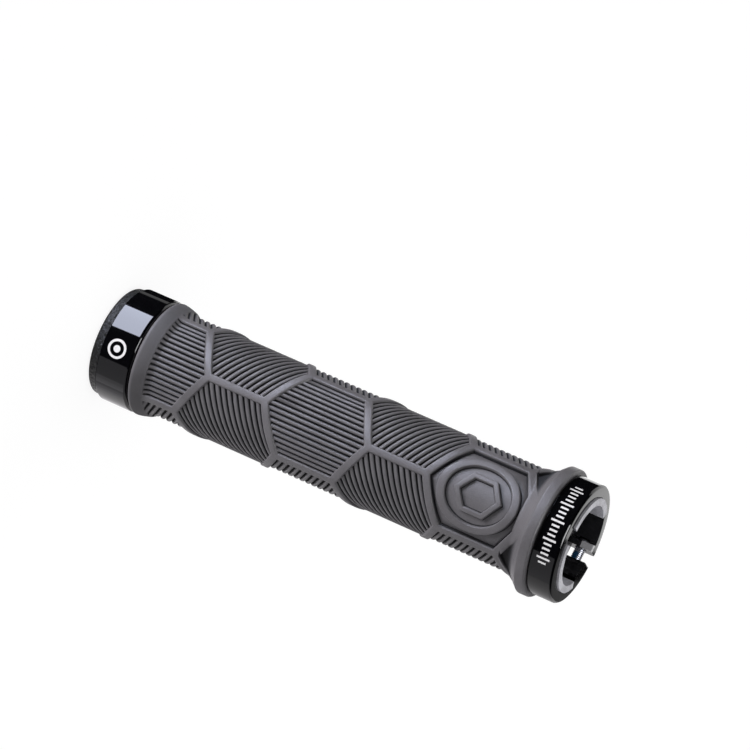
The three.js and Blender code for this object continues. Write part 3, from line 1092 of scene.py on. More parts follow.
    def stitch(self, low: Line, high: Line) -> None:
        """Fills between two lines of points by their positions.

        Args:
            low: Position and number of each point of the first line.
            high: The same for the second line.
        """
        i = 0
        j = 0
        while i < len(low) - 1 or j < len(high) - 1:
            next_low = low[i + 1][0] if i < len(low) - 1 else math.inf
            next_high = high[j + 1][0] if j < len(high) - 1 else math.inf
            if next_low <= next_high:
                self.face(low[i][1], low[i + 1][1], high[j][1])
                i += 1
            else:
                self.face(low[i][1], high[j + 1][1], high[j][1])
                j += 1

    def opened(self, loop: Sequence[Spot], middle: Spot) -> Line:
        """Loop opened at angle zero as seen from its middle.

        Args:
            loop: Points of the loop.
            middle: The middle.

        Returns:
            Angle and number of each point, the first one repeated at the end.
        """
        line = []
        for spot in loop:
            angle = math.atan2(spot.v - middle.v, spot.u - middle.u)
            line.append((angle + 2 * math.pi if angle < -1e-9 else max(angle, 0.0), spot.index))
        line.sort()
        line.append((line[0][0] + 2 * math.pi, line[0][1]))
        return line

    def stitch_loops(self, outer: Sequence[Spot], inner: Sequence[Spot], middle: Spot) -> None:
        """Fills between two loops seen from a middle."""
        self.stitch(self.opened(outer, middle), self.opened(inner, middle))

    def fan(self, loop: Sequence[Spot], index: int) -> None:
        """Fills a loop from one point."""
        for i, spot in enumerate(loop):
            self.face(spot.index, loop[(i + 1) % len(loop)].index, index)

    @staticmethod
    def trimmed(outline: Sequence[Spot], side: Side) -> list[Spot]:
        """Convex outline cut by a line.

        Args:
            outline: Corners of the outline.
            side: The line, which faces what is cut away.

        Returns:
            The corners that are left.
        """
        kept = []
        for i, p in enumerate(outline):
            q = outline[(i + 1) % len(outline)]
            a = p.u * side.u + p.v * side.v - side.reach
            b = q.u * side.u + q.v * side.v - side.reach
            if a <= 0:
                kept.append(p)
            if (a < 0 < b) or (b < 0 < a):
                share = a / (a - b)
                kept.append(Spot(p.u + (q.u - p.u) * share, p.v + (q.v - p.v) * share))
        return kept

    def sides(self) -> tuple[Side, Side, Side]:
        """Directions across the three pairs of sides of a cell, with the distance to each.

        Returns:
            One side of each pair.
        """
        high = self.half_height
        slope = math.hypot(self.slant, high)
        reach = self.half_length * high / slope
        return (
            Side(0.0, 1.0, high),
            Side(high / slope, self.slant / slope, reach),
            Side(-high / slope, self.slant / slope, reach),
        )

    def outline(self, cell: Cell, inset: float, low: float, high: float) -> list[Spot]:
        """Outline of a cell drawn in from its sides and cut to a stretch of the axis.

        Args:
            cell: The cell.
            inset: How far it is drawn in.
            low: Lower end of the stretch.
            high: Upper end of the stretch.

        Returns:
            Its corners.
        """
        far = 2 * self.half_length
        corners = [
            Spot(cell.u - far, cell.v - far),
            Spot(cell.u + far, cell.v - far),
            Spot(cell.u + far, cell.v + far),
            Spot(cell.u - far, cell.v + far),
        ]
        for side in self.sides():
            offset = side.u * cell.u + side.v * cell.v
            reach = side.reach - inset
            corners = self.trimmed(corners, Side(side.u, side.v, offset + reach))
            corners = self.trimmed(corners, Side(-side.u, -side.v, reach - offset))
        corners = self.trimmed(corners, Side(-1.0, 0.0, -low))
        return self.trimmed(corners, Side(1.0, 0.0, high))

    @staticmethod
    def area(outline: Sequence[Spot]) -> float:
        """Area of an outline."""
        pairs = zip(outline, [*outline[1:], outline[0]])
        return sum((p.u * q.v - q.u * p.v) / 2 for p, q in pairs)

    @staticmethod
    def middle(outline: Sequence[Spot]) -> Spot:
        """Middle of an outline's corners."""
        count = len(outline)
        return Spot(sum(p.u for p in outline) / count, sum(p.v for p in outline) / count)

    def loop(self, outline: Sequence[Spot], height: float) -> list[Spot]:
        """Loop of points round an outline at one height over the bands.

        Args:
            outline: Its corners.
            height: The height.

        Returns:
            The points in order.
        """
        points = []
        for i, p in enumerate(outline):
            q = outline[(i + 1) % len(outline)]
            steps = max(1, math.ceil(math.hypot(q.u - p.u, q.v - p.v) / self.step - 1e-6))
            for k in range(steps):
                u = p.u + (q.u - p.u) * k / steps
                v = p.v + (q.v - p.v) * k / steps
                points.append(Spot(u, v, self.point(u, v, height)))
        return points

    @staticmethod
    def chord(outline: Sequence[Spot], side: Side, reach: float) -> Optional[tuple[Spot, Spot]]:
        """The stretch of a line across an outline.

        Args:
            outline: The outline.
            side: Direction across the line.
            reach: The line's distance in that direction.

        Returns:
            Its two ends, or None where it misses.
        """
        hits = []
        for i, p in enumerate(outline):
            q = outline[(i + 1) % len(outline)]
            a = p.u * side.u + p.v * side.v - reach
            b = q.u * side.u + q.v * side.v - reach
            if (a <= 0 < b) or (b <= 0 < a):
                share = a / (a - b)
                hits.append(Spot(p.u + (q.u - p.u) * share, p.v + (q.v - p.v) * share))
        hits.sort(key=lambda p: p.u * side.v - p.v * side.u)
        return None if len(hits) < 2 else (hits[0], hits[-1])

    def rib_profile(self) -> list[tuple[float, float]]:
        """Cross-section of one rib: share of the pitch, and depth under the ribs' tops.

        Returns:
            The pairs in order.
        """
        profile = []
        for share in self.rib_shares:
            off = abs(2 * share - 1)
            profile.append((share, -self.groove * (1 - (1 - off**self.rib_power) ** 0.5)))
        return profile

    def shares(self, first: Spot, last: Spot, stride: float) -> list[float]:
        """Where a line across a floor gets its points, closer together where the ribs begin.

        Args:
            first: Start of the line.
            last: Its end.
            stride: Longest distance between two points.

        Returns:
            Shares of the line from zero to one.
        """
        steps = max(1, math.ceil(math.hypot(last.u - first.u, last.v - first.v) / stride))
        found = [k / steps for k in range(steps + 1)]
        reach = last.u - first.u
        if abs(reach) > self.wall:
            marks = [(self.rib_start + off - first.u) / reach for off in self.rib_marks]
            marks = [mark for mark in marks if 0.01 < mark < 0.99]
            inner = [share for share in found[1:-1] if all(abs(share - m) > 0.02 for m in marks)]
            found = sorted([0.0, *inner, *marks, 1.0])
        return found

    def ribbed_panel(self, cell: Cell, outline: Sequence[Spot]) -> list[Spot]:
        """Ribbed floor of a cell.

        Args:
            cell: The cell.
            outline: Outline of its floor.

        Returns:
            The loop of points round the floor.
        """
        side = self.sides()[cell.side]
        stride = self.curved_stride if cell.side else self.straight_stride
        base = cell.u * side.u + cell.v * side.v
        reach = side.reach - self.band_width / 2 - self.wall
        pitch = 2 * reach / self.ribs
        rows = []
        for rib in range(self.ribs + 1):
            for share, depth in self.rib_profile() if rib < self.ribs else [(0.0, -self.groove)]:
                t = min(max(-reach + (rib + share) * pitch, -reach + 1e-4), reach - 1e-4)
                ends = self.chord(outline, side, base + t)
                if ends is None:
                    continue
                first, last = ends
                length = math.hypot(last.u - first.u, last.v - first.v)
                if length < self.wall:
                    continue
                row = []
                for share in self.shares(first, last, stride):
                    u = first.u + (last.u - first.u) * share
                    v = first.v + (last.v - first.v) * share
                    row.append((share, Spot(u, v, self.point(u, v, -self.rib_drop, depth))))
                rows.append(row)
        for low, high in zip(rows, rows[1:]):
            self.stitch([(at, s.index) for at, s in low], [(at, s.index) for at, s in high])
        loop = [spot for _, spot in rows[0]]
        loop += [row[-1][1] for row in rows[1:-1]]
        loop += [spot for _, spot in reversed(rows[-1])]
        loop += [row[0][1] for row in reversed(rows[1:-1])]
        return loop

    def regular(self, cell: Cell, radius: float, corners: int, height: float) -> list[Spot]:
        """Loop of points round a regular outline about a cell's middle.

        Args:
            cell: The cell.
            radius: Distance of the corners from the middle.
            corners: Their number.
            height: Height of the loop over the bands.

        Returns:
            The points in order.
        """
        steps = self.badge_steps // corners
        loop = []
        for i in range(corners):
            a = 2 * math.pi * i / corners
            b = 2 * math.pi * (i + 1) / corners
            for k in range(steps):
                along = math.cos(a) + (math.cos(b) - math.cos(a)) * k / steps
                u = cell.u + self.badge_shift + self.badge_stretch * radius * along
                v = cell.v + radius * (math.sin(a) + (math.sin(b) - math.sin(a)) * k / steps)
                loop.append(Spot(u, v, self.point(u, v, height)))
        return loop

    def paint_wall_shade(self, spots: Sequence[Spot], shade: float) -> None:
        """Paints shade on points that lie at the foot of a wall."""
        for spot in spots:
            self.groove_shades[spot.index] = shade

    def badge_panel(
        self, cell: Cell, outline: Sequence[Spot], low: float, high: float
    ) -> list[Spot]:
        """Smooth floor of the badge cell with a raised ring and a raised hexagon.

        Args:
            cell: The cell.
            outline: Outline of its floor.
            low: Lower end of the stretch that the floor may take.
            high: Upper end of that stretch.

        Returns:
            The loop of points round the floor.
        """
        floor = -self.badge_floor
        edge = self.loop(outline, floor + self.panel_profile[0][1])
        # Painted shade along the groove round the floor.
        self.paint_wall_shade(edge, self.panel_painted_shade)
        loops = [edge]
        for extra, lift in self.panel_profile:
            inset = self.band_width / 2 + self.wall + extra
            inner = self.outline(cell, inset, low + extra, high - extra)
            loops.append(self.loop(inner, floor + lift))
        for radius, width, corners in (
            (self.badge_ring, self.badge_ring_width, self.badge_steps),
            (self.badge_hexagon, self.badge_hexagon_width, 6),
        ):
            back = [(width - share, rise) for share, rise in reversed(self.badge_profile)]
            feet = ((-self.badge_foot, 0.0), (width + self.badge_foot, 0.0))
            for share, rise in (feet[0], *self.badge_profile, *back, feet[1]):
                height = floor + (self.badge_floor - self.badge_drop) * rise
                loops.append(self.regular(cell, radius - share, corners, height))
                # Painted shade at the feet of the ring's and hexagon's walls.
                if share in (0.0, width):
                    self.paint_wall_shade(loops[-1], self.badge_painted_shade)
        last = (self.badge_hexagon - self.badge_hexagon_width) / 2
        loops.append(self.regular(cell, last, 6, floor))
        middle = Spot(cell.u + self.badge_shift, cell.v)
        for outer, inner in zip(loops, loops[1:]):
            self.stitch_loops(outer, inner, middle)
        self.fan(loops[-1], self.point(middle.u, middle.v, floor))
        return edge

    def cell_skin(self, cell: Cell) -> None:
        """One cell of the honeycomb: its half of the bands round it, and its floor.

        Args:
            cell: The cell.
        """
        outline = self.outline(cell, 0.0, self.pattern_start, self.flange_start)
        if len(outline) < 3 or self.area(outline) < NEAR:
            return
        rim = self.loop(outline, 0.0)
        low = self.pattern_start + self.margin
        high = self.flange_start - self.crest
        half = self.band_width / 2
        foot = low + self.wall
        brow = high - self.wall
        floor = self.outline(cell, half + self.wall, foot, brow)
        if len(floor) < 3 or self.area(floor) < self.band_width * self.half_height:
            self.wedge(cell, rim)
            return
        self.note_seam(rim)
        middle = self.middle(floor)
        loops = [rim]
        for back, drop in self.band_profile:
            inner = self.outline(cell, half - back, low - back, high + back / 2)
            loops.append(self.loop(inner, -drop))
        if cell.badged:
            loops.append(self.badge_panel(cell, floor, foot, brow))
        else:
            loops.append(self.ribbed_panel(cell, floor))
        for outer, inner in zip(loops, loops[1:]):
            self.stitch_loops(outer, inner, middle)

    def note_seam(self, spots: Sequence[Spot]) -> None:
        """Notes the points that lie on the foot of the flange.

        Args:
            spots: Points to look through.
        """
        for spot in spots:
            if abs(spot.u - self.flange_start) < NEAR:
                self.seam[spot.index] = self.turned(spot.v)

    def wedge(self, cell: Cell, rim: Sequence[Spot]) -> None:
        """Tip of a cell between the bands and the flange, with its notch.

        Args:
            cell: The cell.
            rim: The loop of points round its tip.
        """
        tip = cell.u - self.half_length
        slope = math.hypot(self.slant, self.half_height)
        insets = [0.0, *[self.band_width / 2 + extra for extra in self.wedge_insets]]
        far = self.half_height
        rows = []
        for u in sorted({round(spot.u, 6) for spot in rim if spot.u < self.flange_start + NEAR}):
            half = (u - tip) * self.half_height / self.slant
            offs = [(half - inset * slope / self.slant, inset) for inset in insets]
            offs = [(off, inset) for off, inset in offs if off > 0.05 or inset == 0.0]
            spots = [(inset - far, cell.v - off) for off, inset in offs]
            if half > 0.1:
                spots.append((0.0, cell.v))
                spots += [(far - inset, cell.v + off) for off, inset in reversed(offs)]
            rows.append([(at, Spot(u, v, self.point(u, v, 0.0))) for at, v in spots])
        for low, high in zip(rows, rows[1:]):
            self.stitch([(at, s.index) for at, s in high], [(at, s.index) for at, s in low])
        self.note_seam([spot for _, spot in rows[-1]])

    def cells(self) -> list[Cell]:
        """Every cell of the honeycomb.

        Returns:
            The cells, row by row.
        """
        stride = 2 * (self.edge + self.slant)
        reach = self.flange_start - self.badge_ring * self.badge_stretch - self.badge_shift
        found = []
        for row in range(self.rows):
            u = self.start + self.first + (stride / 2 if row % 2 else 0.0) - stride
            while u - self.half_length < self.flange_start:
                if u + self.half_length > self.pattern_start:
                    badged = row == 0 and u <= reach < u + stride
                    found.append(Cell(u, row * self.half_height, self.rib_sides[row], badged))
                u += stride
        return found

    def ring(self, radius: float, z: float) -> Line:
        """Ring of points round the grip, its first point repeated at the end.

        Args:
            radius: Radius of the ring.
            z: Its height.

        Returns:
            Angle and number of each point.
        """
        line = []
        for i in range(self.ring_steps):
            angle = 360.0 * i / self.ring_steps
            dent = self.dent(z, self.laid(angle))
            # Painted shade in the notches.
            hollow = self.notch_painted_shade * dent / self.notch
            line.append((angle, self.point_at(radius - dent, angle, z, hollow)))
        return [*line, (360.0, line[0][1])]

    @staticmethod
    def closed(found: dict[int, float]) -> Line:
        """Line round the grip through numbered points by their angles."""
        line = sorted((angle, index) for index, angle in found.items())
        return [*line, (line[0][0] + 360.0, line[0][1])]

    def collar_seam(self, cells: Sequence[Cell]) -> Line:
        """Line of the pattern's own points where it meets the collar.

        Args:
            cells: Every cell.

        Returns:
            Angle and number of each point.
        """
        found = {}
        for cell in cells:
            outline = self.outline(cell, 0.0, self.pattern_start, self.flange_start)
            for spot in self.loop(outline, 0.0):
                if abs(spot.u - self.pattern_start) < NEAR:
                    found[spot.index] = self.turned(spot.v)
        return self.closed(found)

    def flange_profile(self) -> list[tuple[float, float]]:
        """Radius and height of each ring from the foot of the flange to the end of its rim.

        Returns:
            The pairs in order.
        """
        steps = self.flange_steps
        crest = self.flange_start + self.flange_slope
        marks = [self.flange_start + self.flange_slope * i / steps for i in range(1, steps)]
        profile = [(self.level(z), z) for z in marks]
        profile += [(self.flange_radius - drop, crest + off) for drop, off in self.crease]
        for i in range(self.round_steps + 1):
            turn = math.radians(90 / self.round_steps * i)
            radius = self.flange_radius - self.flange_round * (1 - math.cos(turn))
            profile.append((radius, self.end - self.flange_round * (1 - math.sin(turn))))
        return profile

    def skin(self) -> None:
        """Weaves the whole closed skin."""
        cells = self.cells()
        for cell in cells:
            self.cell_skin(cell)
        rings = [self.closed(self.seam)]
        rings += [self.ring(radius, z) for radius, z in self.flange_profile()]
        rings.append(self.ring(self.bore, self.end))
        rings.append(self.ring(self.bore, self.start))
        for i in range(self.round_steps):
            turn = math.radians(90 / (self.round_steps - 1) * i)
            radius = self.collar_radius - self.collar_round * (1 - math.sin(turn))
            rings.append(self.ring(radius, self.start + self.collar_round * (1 - math.cos(turn))))
        rings.append(self.ring(self.collar_radius, self.start + self.collar_width))
        stretch = self.inset - self.collar_width
        for i in range(1, self.round_steps):
            z = self.start + self.collar_width + stretch * i / self.round_steps
            rings.append(self.ring(self.level(z), z))
        rings.append(self.collar_seam(cells))
        for first, second in zip(rings, rings[1:]):
            self.stitch(second, first)

    def build(self, finish: bpy.types.Material) -> bpy.types.Object:
        """Makes the sleeve.

        Args:
            finish: Its rubber.

        Returns:
            The finished object.
        """
        self.skin()
        mesh = bpy.data.meshes.new("sleeve_skin")
        mesh.from_pydata(self.places, [], self.faces)
        # The painted shade goes to the rubber as a point attribute.
        depth = mesh.attributes.new(GROOVE_SHADE, "FLOAT", "POINT")
        depth.data.foreach_set("value", self.groove_shades)
        made = bpy.data.objects.new("sleeve_skin", mesh)
        bpy.context.scene.collection.objects.link(made)
        Bench.clear()
        bpy.context.view_layer.objects.active = made
        bench = Bench("sleeve_skin")
        bench.tidy(48.0)
        LOG.info("sleeve_skin: %d triangles", len(mesh.polygons))
        return bench.hand_over("rubber_sleeve", "rubber", finish)


# Rings, bolts, core and plug.


@dataclass
class Keying:
    """How the core tube sits in the rings, in millimetres and degrees."""

    bore: float = 11.2
    core_radius: float = 12.3
    tab_radius: float = 13.2
    slip: float = 0.15
    tab_angle: float = 116.0
    tab_gap: float = 21.0
    tab_turn: float = -4.5
    split_angle: float = 168.0

    def angles(self) -> tuple[float, float]:
        """Angles of the two tabs."""
        off = (self.tab_angle + self.tab_gap) / 2
        return (self.tab_turn - off, self.tab_turn + off)

    @staticmethod
    def sector(bench: Bench, middle: float, width: float) -> Bench:
        """Cuts a round shape down to a sector.

        Args:
            bench: The shape, about the grip's axis.
            middle: Angle of the sector's middle.
            width: Its width in degrees.

        Returns:
            The same bench.
        """
        for angle, facing in ((middle - width / 2, -1.0), (middle + width / 2, 1.0)):
            turn = math.radians(angle)
            bench.pick(Pick.FACE, lambda face: True)
            bpy.ops.mesh.bisect(
                plane_co=(0.0, 0.0, 0.0),
                plane_no=(facing * math.cos(turn), facing * math.sin(turn), 0.0),
                use_fill=True,
                clear_outer=True,
            )
            bench.leave()
        return bench


def bolt_frame(height: float, radius: float) -> Matrix:
    """Frame of a pinch bolt, with X along it and its origin in the middle of the split.

    Args:
        height: Middle of its ring.
        radius: Distance of the bolt from the grip's axis.

    Returns:
        The frame in metres.
    """
    angle = Keying.split_angle
    turn = Matrix.Rotation(math.radians(angle), 4, "Z")
    return Matrix.Translation(polar(radius, angle, height)) @ turn


@dataclass
class ClampRing:
    """Split ring of anodised aluminium over the core's tabs, with a bored lug for its bolt."""

    name: str
    node: str
    diameter: float
    width: float
    start: float
    chamfers: tuple[float, float] = (0.7, 0.7)
    split_width: float = 3.4
    lug_from: float = 131.0
    lug_to: float = 185.0
    hole: float = 3.3
    pocket: float = 5.0
    setback: float = 3.3
    bolt_inset: float = 3.05
    bolt_reach: float = 4.6
    edge_round: float = 0.12
    keying: Keying = field(default_factory=Keying)

    @property
    def outer(self) -> float:
        """Radius of the ring."""
        return self.diameter / 2

    @property
    def bore(self) -> float:
        """Radius of its bore."""
        return self.keying.tab_radius + self.keying.slip

    def add_lug(self, bench: Bench) -> None:
        """Adds the lug that the bolt passes through.

        Args:
            bench: The ring.
        """
        lug = Bench.tube("lug", (self.bore + self.outer) / 2, self.start, self.start + self.width)
        lug.bore((self.bore + self.outer) / 2 - self.keying.bore)
        middle = (self.lug_from + self.lug_to) / 2
        self.keying.sector(lug, middle, self.lug_to - self.lug_from)
        bench.join(lug, Join.WELD)

    def cut_split(self, bench: Bench) -> None:
        """Cuts the split and the bolt's hole and pocket.

        Args:
            bench: The ring.
        """
        angle = self.keying.split_angle
        middle = self.start + self.width / 2
        place = polar(self.keying.bore / 4 + self.outer / 2, angle, middle)
        size = Vector((self.split_width, self.outer, 2 * self.width))
        bench.join(Bench.block("split", size, place, angle), Join.CUT)
        frame = bolt_frame(middle, self.outer - self.bolt_inset)
        seat = -self.setback
        hole = Bench.rod("hole", self.hole / 2, seat - 1, self.bolt_reach, frame)
        bench.join(hole, Join.CUT)
        pocket = Bench.rod("pocket", self.pocket / 2, -self.outer, seat, frame)
        bench.join(pocket, Join.CUT)

    def break_edges(self, bench: Bench) -> None:
        """Chamfers the two rims of the outer wall.

        Args:
            bench: The ring.
        """
        levels = (self.start * MM, (self.start + self.width) * MM)
        for level, size in zip(levels, self.chamfers):

            def on_rim(edge: bmesh.types.BMEdge) -> bool:
                """Tells an edge of this rim."""
                ends = [vert.co for vert in edge.verts]
                flat = all(abs(end.z - level) < NEAR for end in ends)
                limit = (self.outer - 0.05) * MM
                return flat and all(math.hypot(end.x, end.y) > limit for end in ends)

            bench.round_edges(size, 3, on_rim, 0.4)

    def build(self, finish: bpy.types.Material) -> bpy.types.Object:
        """Makes the ring.

        Args:
            finish: Its anodising with the print on it.

        Returns:
            The finished object.
        """
        bench = Bench.tube(self.name, self.outer, self.start, self.start + self.width, 192)
        bench.bore(self.outer - self.bore)
        self.break_edges(bench)
        self.add_lug(bench)
        self.cut_split(bench)
        bench.soften(self.edge_round)
        bench.tidy(50.0)
        bench.level_shading()
        LOG.info("%s: %d faces", self.name, len(bench.object.data.polygons))
        return bench.hand_over(self.node, "ring_black", finish)


@dataclass
class PinchBolt:
    """Socket head screw across the split of a ring."""

    name: str
    node: str
    middle: float
    reach: float
    radius: float = 1.5
    root: float = 1.27
    pitch: float = 0.5
    thread_from: float = -2.0
    tip: float = 4.0
    head_radius: float = 2.2
    head_length: float = 1.8
    seat: float = -3.45
    head_round: float = 0.25
    flats: float = 2.5
    depth: float = 1.1

    def shank(self) -> Bench:
        """Shank with its thread, along Z.

        Returns:
            The bench with the shank.
        """
        bench = Bench.tube("shank", self.radius, self.seat - 0.5, self.thread_from, 48)
        bench.pick(Pick.FACE, lambda face: face.normal.z > 0.9)
        half = self.pitch / 2
        count = int((self.tip - self.thread_from) / half)
        for i in range(count):
            share = self.root / self.radius if i % 2 == 0 else self.radius / self.root
            bench.grow(half, share)
        bench.leave()
        return bench

    def build(self, finish: bpy.types.Material) -> bpy.types.Object:
        """Makes the bolt.

        Args:
            finish: Its plated steel.

        Returns:
            The finished object.
        """
        back = self.seat - self.head_length
        bench = Bench.tube(self.name, self.head_radius, back, self.seat, 48)
        limit = (back + 0.01) * MM
        bench.round_edges(
            self.head_round, 3, lambda edge: all(vert.co.z < limit for vert in edge.verts)
        )
        flats = self.flats / math.sqrt(3.0)
        bench.join(Bench.tube("socket", flats, back - 1, back + self.depth, 6), Join.CUT)
        bench.join(self.shank(), Join.WELD)
        bench.activate()
        turn = Matrix.Rotation(math.radians(90.0), 4, "Y")
        bench.object.matrix_world = bolt_frame(self.middle, self.reach) @ turn
        bench.settle()
        bench.tidy(25.0)
        LOG.info("%s: %d faces", self.name, len(bench.object.data.polygons))
        return bench.hand_over(self.node, "bolt_steel", finish)


@dataclass
class CoreTube:
    """Moulded plastic tube under the rubber, with two thicker tabs at each end."""

    name: str = "core_sleeve"
    start: float = 12.9
    end: float = 133.6
    tab_reach: float = 7.75
    neck_drop: float = 0.01
    edge_round: float = 0.2
    keying: Keying = field(default_factory=Keying)

    @property
    def neck_radius(self) -> float:
        """Radius of the necks that tie the tabs to the tube, a hair inside its wall."""
        return self.keying.core_radius - self.neck_drop

    def arc(self, outer: float, low: float, high: float, angle: float, width: float) -> Bench:
        """Sector of a tube of the core's bore.

        Args:
            outer: Its outer radius.
            low: Lower end.
            high: Upper end.
            angle: Its middle.
            width: Its width in degrees.

        Returns:
            The bench with the new object.
        """
        bench = Bench.tube("tab", outer, min(low, high), max(low, high), 192)
        bench.bore(outer - self.keying.bore)
        return self.keying.sector(bench, angle, width)

    def build(self, finish: bpy.types.Material) -> bpy.types.Object:
        """Makes the tube.

        Args:
            finish: Its plastic.

        Returns:
            The finished object.
        """
        keying = self.keying
        bench = Bench.tube(self.name, keying.core_radius, self.start, self.end, 192)
        bench.bore(keying.core_radius - keying.bore)
        for face, way in ((self.start, -1.0), (self.end, 1.0)):
            foot = face + way * keying.slip
            for angle in keying.angles():
                tip = face + way * self.tab_reach
                tab = self.arc(keying.tab_radius, foot, tip, angle, keying.tab_angle)
                near, far = face - way, foot + way
                neck = self.arc(self.neck_radius, near, far, angle, keying.tab_angle - 1)
                tab.join(neck, Join.WELD)
                bench.join(tab, Join.WELD)
        bench.soften(self.edge_round)
        bench.tidy(50.0)
        bench.level_shading()
        LOG.info("%s: %d faces", self.name, len(bench.object.data.polygons))
        return bench.hand_over("core_tube", "core_plastic", finish)


@dataclass
class EndPlug:
    """Push-in plug: a round head and a hollow stem with two barbs."""

    name: str = "plug_body"
    head_radius: float = 15.2
    thickness: float = 2.7
    round: float = 1.0
    stem_radius: float = 8.5
    stem_length: float = 14.0
    stem_wall: float = 2.0
    barb: float = 0.7
    barbs: int = 2

    def build(self, finish: bpy.types.Material) -> bpy.types.Object:
        """Makes the plug.

        Args:
            finish: Its plastic.

        Returns:
            The finished object.
        """
        bench = Bench.tube(self.name, self.head_radius, 0.0, self.thickness, 160)
        bench.round_edges(
            self.round, 8, lambda edge: all(vert.co.z < NEAR for vert in edge.verts)
        )
        top = self.thickness * MM - NEAR
        bench.pick(
            Pick.FACE, lambda face: face.normal.z > 0.9 and face.calc_center_median().z > top
        )
        bpy.ops.mesh.inset(thickness=(self.head_radius - self.stem_radius) * MM, depth=0.0)
        pitch = self.stem_length / (self.barbs + 1)
        swell = (self.stem_radius + self.barb) / self.stem_radius
        bench.grow(pitch, 1.0)
        for _ in range(self.barbs):
            bench.grow(pitch * 0.2, swell)
            bench.grow(pitch * 0.6, 1.0 / swell)
            bench.grow(pitch * 0.2, 1.0)
        bench.grow(0.0, (self.stem_radius - self.stem_wall) / self.stem_radius)
        bench.grow(-self.stem_length, 1.0)
        bench.leave()
        bench.tidy(30.0)
        bench.level_shading()
        LOG.info("%s: %d faces", self.name, len(bench.object.data.polygons))
        return bench.hand_over("end_plug", "plug_plastic", finish)


# Studio and camera.


@dataclass(frozen=True)
class StudioWorld:
    """Light of the room: even and pale, white where the camera sees it, dark in reflections."""

    ambient: float = 0.36
    reflected: float = 0.006

    def build(self) -> None:
        """Makes the world."""
        world = bpy.data.worlds.new("studio_air")
        world.use_nodes = True
        bpy.context.scene.world = world
        graph = Graph(world.node_tree)
        path = graph.node("ShaderNodeLightPath", output="Is Camera Ray")
        glossy = graph.node("ShaderNodeLightPath", output="Is Glossy Ray")
        level = path.larger((1.0 - glossy) * self.ambient + glossy * self.reflected)
        shader = graph.node("ShaderNodeBackground", inputs={"Strength": level})
        graph.node_output("ShaderNodeOutputWorld", shader)


@dataclass(frozen=True)
class PaleFloor(Finish):
    """White floor that keeps a faint shadow."""

    def dress(self, graph: Graph) -> None:
        """Bright where the camera sees it, plain white to the light.

        Args:
            graph: The tree to fill.
        """
        seen = graph.node("ShaderNodeLightPath", output="Is Camera Ray")
        fleck = graph.noise(6.0, 2.0)
        tone = graph.tint(fleck, (0.79, 0.79, 0.79), (0.81, 0.81, 0.81))
        plain = graph.node("ShaderNodeBsdfDiffuse", inputs={"Color": tone})
        thin = graph.node("ShaderNodeBsdfDiffuse", inputs={"Color": (0.2, 0.2, 0.2, 1.0)})
        glow = graph.node("ShaderNodeEmission", inputs={"Strength": 0.88})
        bright = graph.node("ShaderNodeAddShader", inputs={0: thin, 1: glow})
        shader = graph.node("ShaderNodeMixShader", inputs={0: seen, 1: plain, 2: bright})
        graph.node_output("ShaderNodeOutputMaterial", shader)


@dataclass(frozen=True)
class Softbox:
    """Rectangular lamp that faces a point of the grip's axis, given by its height as aim."""

    name: str
    azimuth: float
    elevation: float
    distance: float
    width: float
    height: float
    radiance: float
    color: Color = (1.0, 1.0, 1.0)
    aim: float = 70.0
    glossy: bool = True
    diffuse: bool = True

    def build(self) -> None:
        """Makes the lamp."""
        data = bpy.data.lights.new(self.name, "AREA")
        data.shape = "RECTANGLE"
        data.size = self.width
        data.size_y = self.height
        data.energy = self.radiance * math.pi * self.width * self.height
        data.color = self.color
        lamp = bpy.data.objects.new(self.name, data)
        turn = math.radians(self.azimuth)
        lift = math.radians(self.elevation)
        flat = math.cos(lift)
        way = Vector((flat * math.sin(turn), -flat * math.cos(turn), math.sin(lift)))
        lamp.location = Vector((0.0, 0.0, self.aim * MM)) + way * self.distance
        lamp.rotation_euler = way.to_track_quat("Z", "Y").to_euler()
        lamp.visible_camera = False
        lamp.visible_glossy = self.glossy
        lamp.visible_diffuse = self.diffuse
        bpy.context.scene.collection.objects.link(lamp)


BLUE = (0.77, 0.82, 1.0)
COOL = (0.98, 0.98, 1.0)
LILAC = (0.97, 0.95, 1.0)
ROSE = (1.0, 0.98, 1.0)
PALE_ROSE = (1.0, 0.99, 1.0)


